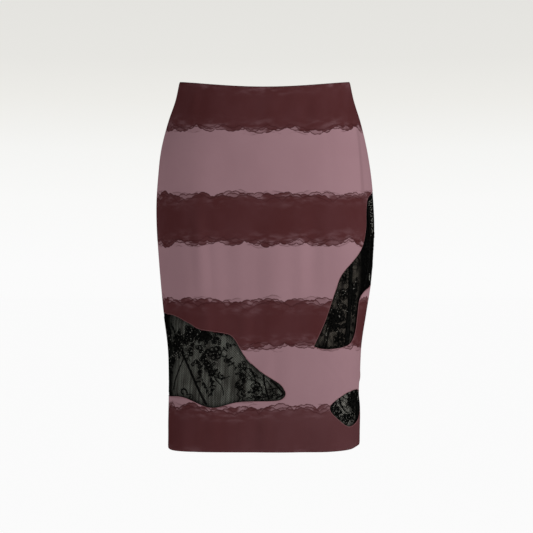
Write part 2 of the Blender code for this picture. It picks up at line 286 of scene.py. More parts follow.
def place(panel, flat, out):
    """World points from places on the cloth: the four nearest points of the tube are averaged, and
    the result is moved out along the averaged normal."""
    around, drop = flat.T
    share = np.clip(around / half_girth(panel, drop), -1, 1)
    first = 0 if panel == "front" else FORM_COLUMNS // 2
    column = first + (share + 1) / 2 * (FORM_COLUMNS // 2)
    row = np.clip(drop / SIDE_LENGTH, 0, 1) * (FORM_ROWS - 1)
    left = np.floor(column).astype(int)
    above = np.minimum(np.floor(row).astype(int), FORM_ROWS - 2)
    across, along = (column - left)[:, None], (row - above)[:, None]
    left, right = left % FORM_COLUMNS, (left + 1) % FORM_COLUMNS

    def between(grid):
        upper = grid[above, left] * (1 - across) + grid[above, right] * across
        lower = grid[above + 1, left] * (1 - across) + grid[above + 1, right] * across
        return upper * (1 - along) + lower * along

    return between(FORM_POINTS) + between(FORM_NORMALS) * out[:, None]


for level, drop in (("waist", 0), ("hip", HIP_DROP), ("hem", SIDE_LENGTH)):
    girth = 2 * float(half_girth("front", drop) + half_girth("back", drop))
    print("girth at the", level, "in mm:", round(1000 * girth))

# %% [markdown]
# ## The outlines of the windows
#
# Each window is a hole cut in the front before the skirt is sewn, so its outline is drawn on the flat
# panel. A few given points and a Catmull-Rom curve through them give a soft outline like a scissor
# cut. Points marked 1 are real corners.

# %% Window outlines
FLAT_HALF = 0.24
OUTLINE_STEPS = 10
TINY = 1e-18
WINDOWS = {
    # around, drop, corner
    "left": (
        (-0.270, 0.377, 1), (-0.165, 0.378, 0), (-0.124, 0.390, 0), (-0.104, 0.400, 0),
        (-0.072, 0.405, 0), (-0.050, 0.412, 0), (-0.029, 0.443, 0), (-0.004, 0.466, 0),
        (0.0245, 0.484, 0), (0.0335, 0.493, 0), (0.0370, 0.501, 0), (0.0340, 0.508, 0),
        (0.0210, 0.513, 0), (-0.036, 0.515, 0), (-0.080, 0.524, 0), (-0.128, 0.509, 0),
        (-0.180, 0.511, 0), (-0.270, 0.510, 1),
    ),
    "right": (
        (0.270, 0.165, 1), (0.208, 0.182, 0), (0.184, 0.192, 0), (0.176, 0.214, 0),
        (0.173, 0.244, 0), (0.160, 0.276, 0), (0.123, 0.313, 0), (0.111, 0.340, 0),
        (0.095, 0.388, 0), (0.077, 0.428, 1), (0.100, 0.433, 0), (0.139, 0.427, 0),
        (0.154, 0.409, 0), (0.158, 0.381, 0), (0.161, 0.355, 0), (0.174, 0.343, 0),
        (0.195, 0.337, 0), (0.270, 0.322, 1),
    ),
    "small": (
        (0.170, 0.4985, 0), (0.140, 0.502, 0), (0.114, 0.516, 0), (0.108, 0.526, 0),
        (0.116, 0.538, 0), (0.142, 0.556, 0), (0.166, 0.5535, 0), (0.189, 0.543, 0),
        (0.204, 0.526, 0), (0.198, 0.506, 0),
    ),
}


def window_outline(table):
    """A closed Catmull-Rom curve: each span is a cubic that leaves and arrives along the line
    between its neighbours, or at rest at a corner."""
    around, drop, corner = np.array(table).T
    flat = np.column_stack((around / half_girth("front", drop) * FLAT_HALF, drop))[:, None]
    following = np.roll(flat, -1, axis=0)
    leave = (following - np.roll(flat, 1, axis=0)) / 2 * (1 - corner)[:, None, None]
    part = (np.arange(OUTLINE_STEPS) / OUTLINE_STEPS)[None, :, None]
    curve = cubic(part, flat, leave, following, np.roll(leave, -1, axis=0)).reshape(-1, 2)
    return np.column_stack((curve[:, 0] / FLAT_HALF * half_girth("front", curve[:, 1]), curve[:, 1]))


def outside_by(outline, places):
    """How far places lie outside an outline, less than nought inside it. The distance is to the
    nearest point of any side, and a place is inside where a line to its right crosses the outline an
    odd number of times."""
    spots = np.reshape(places, (-1, 2))
    nearest = np.full(len(spots), np.inf)
    crossings = np.zeros(len(spots), dtype=int)
    for a, b in zip(outline, np.roll(outline, -1, axis=0)):
        ab = b - a
        part = np.clip(((spots - a) @ ab) / max(ab @ ab, TINY), 0, 1)
        nearest = np.minimum(nearest, np.linalg.norm(spots - a - part[:, None] * ab, axis=1))
        spans = (a[1] > spots[:, 1]) != (b[1] > spots[:, 1])
        fall = ab[1] if abs(ab[1]) > TINY else TINY
        crossings += spans & (spots[:, 0] < a[0] + (spots[:, 1] - a[1]) / fall * ab[0])
    return np.where(crossings % 2 == 1, -nearest, nearest).reshape(places.shape[:-1])


OUTLINES = {name: window_outline(table) for name, table in WINDOWS.items()}
print("outline points:", {name: len(outline) for name, outline in OUTLINES.items()})

# %% [markdown]
# ## Helpers that turn arrays into meshes
#
# A sheet of cloth starts as a grid of places on the panel. Where a window is cut, whole squares
# would leave a stepped edge, so the squares on the edge are split where the distance to the outline
# is nought, the way a contour line is drawn. The same cut gives each lace's backing its outline.

# %% Grid, cut and mesh helpers
SNAP_SHARE = 0.22


def grid_quads(rows, columns):
    """The four corners of each square of a grid, in the order that faces out of the skirt."""
    index = np.arange(rows * columns).reshape(rows, columns)
    corners = (index[:-1, :-1], index[1:, :-1], index[1:, 1:], index[:-1, 1:])
    return np.stack(corners, axis=2).reshape(-1, 4)


def cut_grid(flat, quads, depth, spacing):
    """Keeps the part of a flat grid where depth is over nought. Points that are very near the edge
    are slid onto it first. Squares that the edge crosses are split in triangles, and each triangle's
    sides are cut where the depth, read along them as a straight line, is nought."""
    near = np.abs(depth) < SNAP_SHARE * spacing
    depth = np.where(near, 0.0, depth)
    inside = depth[quads] >= 0
    whole = quads[inside.all(axis=1)]
    crossed = quads[inside.any(axis=1) & ~inside.all(axis=1)]
    triangles = np.concatenate((crossed[:, [0, 1, 2]], crossed[:, [0, 2, 3]]))
    kept = depth[triangles] >= 0
    count = kept.sum(axis=1)
    full = triangles[count == 3]
    one, two = triangles[count == 1], triangles[count == 2]
    one = np.take_along_axis(one, (np.argmax(kept[count == 1], axis=1)[:, None] + [0, 1, 2]) % 3, 1)
    two = np.take_along_axis(two, (np.argmin(kept[count == 2], axis=1)[:, None] + [0, 1, 2]) % 3, 1)
    sides = np.concatenate((one[:, [0, 1]], one[:, [0, 2]], two[:, [0, 1]], two[:, [0, 2]]))
    keys, slot = np.unique(np.sort(sides, axis=1), axis=0, return_inverse=True)
    slot = np.ravel(slot)
    part = depth[keys[:, 0]] / (depth[keys[:, 0]] - depth[keys[:, 1]])
    added = flat[keys[:, 0]] + part[:, None] * (flat[keys[:, 1]] - flat[keys[:, 0]])
    new = len(flat) + slot
    first, second = len(one), len(one) + len(one)
    third = second + len(two)
    corner = np.column_stack((one[:, 0], new[:first], new[first:second]))
    strip = np.column_stack((new[second:third], two[:, 1], two[:, 2], new[third:]))
    faces = whole.tolist() + full.tolist() + corner.tolist() + strip.tolist()
    return np.concatenate((flat, added)), faces


def cut_sheet(panel, shares, drops, spacing, depth_at):
    """The grid of a sheet, by shares of the panel's half breadth and by drops, cut where the depth
    at its places is nought."""
    drop, share = np.meshgrid(drops, shares, indexing="ij")
    flat = np.stack((share * half_girth(panel, drop), drop), axis=-1).reshape(-1, 2)
    return cut_grid(flat, grid_quads(len(drops), len(shares)), depth_at(flat), spacing)


def make_mesh(name, points, faces, flat=None, edge=None):
    """A smooth mesh object at the origin from world points. Unused points are left out, flat places
    become its UV map, and a value at each point becomes its attribute named edge."""
    sizes = np.array([len(face) for face in faces])
    used, loops = np.unique(np.concatenate(faces), return_inverse=True)
    loops = np.ravel(loops)
    mesh = bpy.data.meshes.new(name)
    mesh.vertices.add(len(used))
    mesh.vertices.foreach_set("co", points[used].astype(np.float32).ravel())
    mesh.loops.add(len(loops))
    mesh.loops.foreach_set("vertex_index", loops.astype(np.int32))
    mesh.polygons.add(len(sizes))
    starts = np.concatenate(([0], np.cumsum(sizes)[:-1]))
    mesh.polygons.foreach_set("loop_start", starts.astype(np.int32))
    mesh.update(calc_edges=True)
    if flat is not None:
        layer = mesh.uv_layers.new(name="cloth")
        layer.data.foreach_set("uv", flat[used][loops].astype(np.float32).ravel())
    if edge is not None:
        layer = mesh.attributes.new("edge", "FLOAT", "POINT")
        layer.data.foreach_set("value", edge[used].astype(np.float32))
    mesh.polygons.foreach_set("use_smooth", np.full(len(sizes), True))
    mesh.validate()
    thing = bpy.data.objects.new(name, mesh)
    bpy.context.scene.collection.objects.link(thing)
    return thing


def thicken(thing, wall):
    """Gives a sheet its thickness inwards, so its outer face stays where it is."""
    modifier = thing.modifiers.new("wall", "SOLIDIFY")
    modifier.thickness = wall
    modifier.offset = -1.0
    modifier.use_even_offset = True


def triangles_of(thing):
    """How many triangles a piece has, as it renders."""
    graph = bpy.context.evaluated_depsgraph_get()
    mesh = thing.evaluated_get(graph).to_mesh()
    mesh.calc_loop_triangles()
    return len(mesh.loop_triangles)


print("squares of a 3 by 4 grid:", len(grid_quads(4, 5)))

# %% [markdown]
# ## The striped front and back
#
# The front is one piece from side seam to side seam, and so is the back. Each becomes a shell with
# squares of about 3 mm. Near a side seam the cloth rolls in to a narrow groove, where the stitches
# pull it, and at the waist and hem it rounds over into its turned edge. The UV map holds real
# distances in metres, so a pattern can follow the cloth round the body.

# %% Cloth shells
CLOTH_SPACING = 0.0029
PANEL_HALF = 0.235
SEAM_GROOVE = 0.0007
GROOVE_WIDTH = 0.0026
EDGE_ROLL = 0.0006
EDGE_ROLL_WIDTH = 0.0030
BACK_UV_SHIFT = 1.0


def cloth_out(panel, flat):
    """How far in the outer face lies: a groove along the side seams and a roll at waist and hem."""
    around, drop = flat.T
    to_seam = half_girth(panel, drop) - np.abs(around)
    to_edge = np.minimum(drop, SIDE_LENGTH - drop)
    groove = SEAM_GROOVE * np.exp(-((to_seam / GROOVE_WIDTH) ** 2))
    roll = EDGE_ROLL * np.clip(1 - to_edge / EDGE_ROLL_WIDTH, 0, 1) ** 2
    return -groove - roll


def cloth_shell(name, panel, windows):
    """A panel as a function of two parameters: a share across it from seam to seam and a drop."""
    shares = np.linspace(-1, 1, int(round(2 * PANEL_HALF / CLOTH_SPACING)) + 1)
    drops = np.linspace(0, SIDE_LENGTH, int(round(SIDE_LENGTH / CLOTH_SPACING)) + 1)

    def depth_at(flat):
        return np.min([np.ones(len(flat)), *(outside_by(each, flat) for each in windows)], axis=0)

    flat, faces = cut_sheet(panel, shares, drops, CLOTH_SPACING, depth_at)
    uv = flat + [BACK_UV_SHIFT * (panel == "back"), 0.0]
    thing = make_mesh(name, place(panel, flat, cloth_out(panel, flat)), faces, uv)
    thicken(thing, SHELL_WALL)
    return thing


front_cloth = cloth_shell("front_cloth", "front", OUTLINES.values())
back_cloth = cloth_shell("back_cloth", "back", [])
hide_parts("front_panel")
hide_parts("back_panel")
print("triangles:", triangles_of(front_cloth), triangles_of(back_cloth))

# %% [markdown]
# ## A profile carried along a path
#
# Rims, threads and cords are all one kind of shape: a small profile carried along a path on the
# cloth. A rim is round. Lace is thread, so it is built from thread, and a thread is a low
# four-cornered ribbon, narrow for the net, wide for petals and cords. All paths of one kind go
# through the function at once, as whole arrays. Where a path leaves the lace's outline it is ended
# with a cap, so each thread stays a closed solid.

# %% The function that carries a profile
RIBBON_SHOULDER = 0.55


def ribbon(base, top):
    """A thread's profile: two base corners at the full half width and two top corners nearer the
    middle. A corner is its share of the half width and its level."""
    return np.array(((1, base), (RIBBON_SHOULDER, top), (-RIBBON_SHOULDER, top), (-1, base)))


def carry(profile, paths, half_width, closed, keep):
    """Paths is (count, points, 2) in around and drop. At each point the profile's corners stand to
    the side of the path by their share of the half width. Sides join each point to the next where
    both are kept, and a run of kept points ends in caps. Returns places, levels, sides and caps."""
    half_width = np.broadcast_to(half_width, keep.shape)[..., None, None]
    if closed:
        ahead = np.roll(paths, -1, axis=1) - np.roll(paths, 1, axis=1)
        following = keep & np.roll(keep, -1, axis=1)
    else:
        ahead = np.gradient(paths, axis=1)
        following = keep & np.append(keep[:, 1:], np.zeros((len(keep), 1), bool), axis=1)
    ahead = ahead / np.maximum(np.linalg.norm(ahead, axis=2, keepdims=True), TINY)
    left = np.stack((ahead[..., 1], -ahead[..., 0]), axis=-1)
    flat = paths[:, :, None] + left[:, :, None] * (half_width * profile[:, :1])
    out = np.broadcast_to(profile[:, 1], flat.shape[:-1])
    index = np.arange(out.size).reshape(out.shape)
    after = np.roll(index, -1, axis=1)
    corners = (index, np.roll(index, -1, axis=2), np.roll(after, -1, axis=2), after)
    sides = np.stack(corners, axis=3)[following].reshape(-1, 4)
    entering = np.roll(following, 1, axis=1)
    caps = np.concatenate((index[following & ~entering][:, ::-1], index[entering & ~following]))
    return flat.reshape(-1, 2), out.ravel(), sides, caps


def carried_mesh(name, parts, lift=None):
    """One mesh from several carried profiles: the faces of each are moved past the points before
    them. Lift adds to the levels, as a function of the places."""
    flat, out = (np.concatenate([part[column] for part in parts]) for column in (0, 1))
    before = np.cumsum([0] + [len(part[0]) for part in parts[:-1]])
    faces = [face for part, move in zip(parts, before)
             for kind in part[2:] for face in (kind + move).tolist()]
    if lift:
        out = out + lift(flat)
    return make_mesh(name, place("front", flat, out), faces, flat)


one = carry(ribbon(0, 0.0005), np.array([[[0, 0], [0.01, 0]]]), 0.001, False, np.ones((1, 2), bool))
print("faces of one straight thread:", len(one[2]) + len(one[3]))

# %% [markdown]
# ## The turned edges round the windows
#
# The cut cloth is turned under and stitched to the lace, which leaves a thin raised rim, a little
# sunk in the cloth's face. Its ends lie in the side seam where a window runs into it.

# %% Window edges
RIM_RADIUS = 0.0006
RIM_SIDES = 8
RIM_STEP = 0.0022
RIM_FINE_STEP = RIM_STEP / 4
RIM_SUNK = 0.75
RIM_TURN = np.linspace(0, 2 * np.pi, RIM_SIDES, endpoint=False)
RIM_PROFILE = np.column_stack((np.cos(RIM_TURN), RIM_RADIUS * (np.sin(RIM_TURN) - RIM_SUNK)))


def even_path(path, step):
    """The same path with points evenly spaced along it."""
    length = np.append(0, np.cumsum(np.linalg.norm(np.diff(path, axis=0), axis=1)))
    at = np.linspace(0, length[-1], max(int(length[-1] / step), 2) + 1)
    return np.column_stack([np.interp(at, length, path[:, axis]) for axis in (0, 1)])


def rim_path(outline):
    """The stretch of an outline that lies on the panel, starting where it leaves the side seam."""
    on_panel = np.abs(outline[:, 0]) <= half_girth("front", outline[:, 1])
    if on_panel.all():
        return even_path(np.vstack((outline, outline[:1])), RIM_STEP)[:-1], True
    first = np.flatnonzero(on_panel & ~np.roll(on_panel, 1))[0]
    rolled, kept = np.roll(outline, -first, axis=0), np.roll(on_panel, -first)
    last = np.flatnonzero(kept)[-1]
    path = np.vstack((np.roll(outline, 1, axis=0)[first], rolled[: last + 2]))
    path = even_path(path, RIM_FINE_STEP)
    path = path[np.abs(path[:, 0]) <= half_girth("front", path[:, 1])]
    return even_path(path, RIM_STEP), False


def window_rim(key):
    """The round profile carried along one window's outline."""
    path, closed = rim_path(OUTLINES[key])
    keep = np.ones((1, len(path)), bool)
    return carried_mesh(f"window_edge_{key}", [carry(RIM_PROFILE, path[None], RIM_RADIUS, closed, keep)])


rims = {key: window_rim(key) for key in OUTLINES}
print("rims:", {name: triangles_of(rim) for name, rim in rims.items()})

# %% [markdown]
# ## Motifs for the lace
#
# Floral lace is made of a few figures used again and again: open flowers, leaf sprays on a stem,
# rings like berries, strings of beads, curling tendrils and thick outlining cords. Each figure is a
# formula in its own small frame, then turned and moved to its place, all in millimetres. A figure is
# its paths, their half width and whether they are closed. The figures here are common lace figures
# in this lesson's own layout.

# %% Motif formulas
MM = 0.001
ARCH_STEPS = 8
FINE, MEDIUM, BOLD, CORD = 0.4, 0.6, 0.9, 1.3


def rotated(x, y, turn):
    """Local places turned by an angle, each way the sum of its shares of x and y."""
    c, s = np.cos(turn), np.sin(turn)
    return np.stack((x * c - y * s, x * s + y * c), axis=-1)


def placed(local, spot, turn):
    """Local paths turned by an angle and moved to a place on the cloth. Local up becomes less drop."""
    return np.asarray(spot) + rotated(local[..., 0], local[..., 1], turn) * (1, -1)


def petals(spot, size, count, turn, stroke):
    """Closed loops round a centre: along its own axis a petal goes out and back as one minus cosine,
    and across it as a sine that is wider towards the tip."""
    s = np.linspace(0, 2 * np.pi, 14, endpoint=False)
    along = size * (0.22 + 0.78 * (0.5 - 0.5 * np.cos(s)))
    across = size * 1.75 / count * np.sin(s) * (1 - 0.35 * np.cos(s))
    angles = turn + np.arange(count)[:, None] * 2 * np.pi / count
    return placed(rotated(along, across, angles), spot, 0.0), stroke, True


def rings(spots, radii, stroke):
    """Small closed circles, each with its own radius."""
    s = np.linspace(0, 2 * np.pi, 9, endpoint=False)
    circle = np.stack((np.cos(s), np.sin(s)), axis=-1)
    return np.asarray(spots)[:, None] + np.asarray(radii)[:, None, None] * circle, stroke, True


def leaves(spot, length, pairs, turn, bend, leaf, fat):
    """A spray: leaves in pairs along a stem that bends as a square of the way along it. Each leaf is
    a ribbon whose width grows and shrinks as a sine, and sines of its number make it uneven."""
    at = np.repeat((np.arange(pairs) + 0.8) / (pairs + 0.3), 2)
    side = np.tile([1, -1], pairs)
    foot = np.column_stack((bend * length * at**2, length * at))
    lean = np.arctan2(2 * bend * at, 1.0)
    number = np.arange(2 * pairs) + 0.04 * spot[0]
    direction = np.pi / 2 - lean - side * np.radians(48) + 0.5 * np.sin(2.7 * number)
    s = np.linspace(0, 1, 7)
    reach = (leaf * (1 - 0.35 * at) * (0.9 + 0.4 * np.sin(4.1 * number)))[:, None] * s
    local = foot[:, None] + np.stack(
        (reach * np.cos(direction)[:, None], reach * np.sin(direction)[:, None]), axis=-1
    )
    width = fat * (1 - 0.35 * at)[:, None] * np.sin(np.pi * (0.08 + 0.84 * s)) ** 0.8
    return placed(local, spot, turn), width, False


def stem(spot, length, turn, bend, stroke):
    """The line that a spray's leaves stand on."""
    s = np.linspace(0, 1, 12)
    local = np.stack((bend * length * s**2, length * s), axis=-1)[None]
    return placed(local, spot, turn), stroke * (1 - 0.4 * s), False


def tendril(spot, radius, turns, turn, stroke, hand=1):
    """A curl whose radius shrinks steadily as it winds."""
    s = np.linspace(0, 1, 26)
    angle = hand * turns * 2 * np.pi * s
    reach = radius * (1 - 0.82 * s)
    local = np.stack((reach * np.cos(angle), reach * np.sin(angle)), axis=-1)[None]
    return placed(local, spot, turn), stroke, False


def cord(points, stroke, count=40):
    """A thick thread through a few points, by smooth cubics over their order."""
    points = np.asarray(points, float)
    order = np.arange(len(points), dtype=float)
    at = np.linspace(0, len(points) - 1, count)
    path = np.stack([smooth_through(order, points[:, axis], at) for axis in (0, 1)], axis=-1)
    return path[None], stroke, False


def scallops(points, count, height, stroke):
    """A border: arches side by side along a line through a few points, each half a sine high."""
    path = cord(points, stroke, count * ARCH_STEPS + 1)[0][0]
    ahead = np.gradient(path, axis=0)
    ahead /= np.linalg.norm(ahead, axis=1, keepdims=True)
    left = np.column_stack((ahead[:, 1], -ahead[:, 0]))
    lift = height * np.abs(np.sin(np.arange(len(path)) * np.pi / ARCH_STEPS))
    return (path + left * lift[:, None])[None], stroke, False


def flower(spot, size, count, turn, stroke=MEDIUM):
    """Two rounds of petals, a ring at the heart and a berry between each two petal tips."""
    tips = turn + (np.arange(count) + 0.5) * 2 * np.pi / count
    spots = np.asarray(spot) + 0.98 * size * np.column_stack((np.cos(tips), -np.sin(tips)))
    return [
        petals(spot, size, count, turn, stroke),
        petals(spot, 0.62 * size, count, turn + np.pi / count, FINE),
        rings([spot], [0.16 * size], stroke),
        rings(spots, np.full(count, 0.09 * size + 0.6), FINE),
    ]


def spray(spot, length, pairs, turn, bend, leaf=5.6, fat=1.2):
    """Leaves on their stem."""
    return [leaves(spot, length, pairs, turn, bend, leaf, fat), stem(spot, length, turn, bend, MEDIUM)]


def roses(spots, radius, stroke=BOLD):
    """Rings with a smaller ring inside each."""
    radii = radius * (1 + 0.25 * np.sin(3.0 * np.arange(len(spots))))
    return [rings(spots, radii, stroke), rings(spots, 0.3 * radii, FINE)]


def beads(points, count, radius, stroke=FINE):
    """Rings strung along a line through a few points, with uneven radii."""
    path = cord(points, stroke, count)[0][0]
    number = np.arange(count)
    away = 0.5 * radius * np.column_stack((np.sin(2.3 * number), np.cos(3.1 * number)))
    return [rings(path + away, radius * (1 + 0.3 * np.sin(2.1 * number)), stroke)]


def scattered(chance, centre, spread, count):
    """Places round a centre with a normal spread, drawn from a seeded generator."""
    return np.asarray(centre) + chance.normal(0, 1, (count, 2)) * spread


def berries(centre, spread, count, seed):
    """A loose bunch of rings."""
    chance = np.random.default_rng(seed)
    spots = scattered(chance, centre, spread, count)
    return [rings(spots, chance.uniform(1.3, 2.3, count), MEDIUM)]


print("petals, points and ways:", petals((0, 0), 10, 6, 0.0, FINE)[0].shape)

# %% [markdown]
# ## The net ground
#
# Between its figures, lace is a net of six-sided meshes. Bobbin net is made of upright threads that
# step to and fro and meet their neighbours by turns, so it is built the same way: every thread
# repeats right, right, left, left, and every second thread does the opposite. The lace is sewn behind
# the cloth's edge, so its threads start under the cloth and rise to its level inside the window.

# %% The net
NET_PITCH = 0.0019
NET_STEP = 0.00095
NET_REACH = 0.25
THREAD_HALF = 0.00017
THREAD_MEETS = 0.6
LACE_ALLOWANCE = 0.008
NET_BASE, NET_TOP = -0.00262, -0.00236
MOTIF_BASE, MOTIF_TOP = -0.00245, -0.00178
WINDOW_LIFT, LIFT_FROM, LIFT_TO = 0.0022, 0.0003, 0.011
SEAM_STRIP, SEAM_REACH, SEAM_SHARE = 0.026, 0.034, 0.05
SEAM_CLEAR = 0.0006


def window_lift(outline, flat):
    """The lace is sewn behind the cloth's edge and bulges out to its level within a finger's breadth,
    and sooner at the side seam: a smooth step of how far a place lies inside the outline."""
    to_seam = half_girth("front", flat[:, 1]) - np.abs(flat[:, 0])
    seam_away = np.clip((to_seam - SEAM_STRIP) / SEAM_REACH, 0, 1)
    reach = LIFT_TO * (SEAM_SHARE + (1 - SEAM_SHARE) * seam_away)
    part = np.clip((-outside_by(outline, flat) - LIFT_FROM) / reach, 0, 1)
    return WINDOW_LIFT * part**2 * (3 - 2 * part)


def lies_within(outline, paths, allowance, seam_clear):
    """Where paths lie inside an outline and its allowance, and clear of the side seams."""
    on_panel = np.abs(paths[..., 0]) < half_girth("front", paths[..., 1]) - seam_clear
    return (outside_by(outline, paths) < allowance) & on_panel


def net(outline):
    """All upright threads over an outline: each is a place around, swung to one side and the other
    by turns as the drop grows. Neighbours meet for two steps and part for the next two."""
    low, high = outline.min(axis=0) - LACE_ALLOWANCE, outline.max(axis=0) + LACE_ALLOWANCE
    low[0], high[0] = max(low[0], -NET_REACH), min(high[0], NET_REACH)
    threads = np.arange(np.ceil(low[0] / NET_PITCH), np.floor(high[0] / NET_PITCH) + 1)
    levels = np.arange(np.ceil(low[1] / NET_STEP), np.floor(high[1] / NET_STEP) + 1)
    swing = NET_PITCH / 2 - THREAD_MEETS * THREAD_HALF
    swings = np.array([1, 1, -1, -1])[levels.astype(int) % 4] * swing
    side = np.where(threads.astype(int) % 2 == 0, 1, -1)
    around = threads[:, None] * NET_PITCH + side[:, None] * swings
    paths = np.stack((around, np.broadcast_to(levels * NET_STEP, around.shape)), axis=-1)
    keep = lies_within(outline, paths, LACE_ALLOWANCE, SEAM_CLEAR)
    return carry(ribbon(NET_BASE, NET_TOP), paths, THREAD_HALF, False, keep)


nets = {key: net(outline) for key, outline in OUTLINES.items()}
print("sides of all threads:", {key: len(sides) for key, (flat, out, sides, caps) in nets.items()})
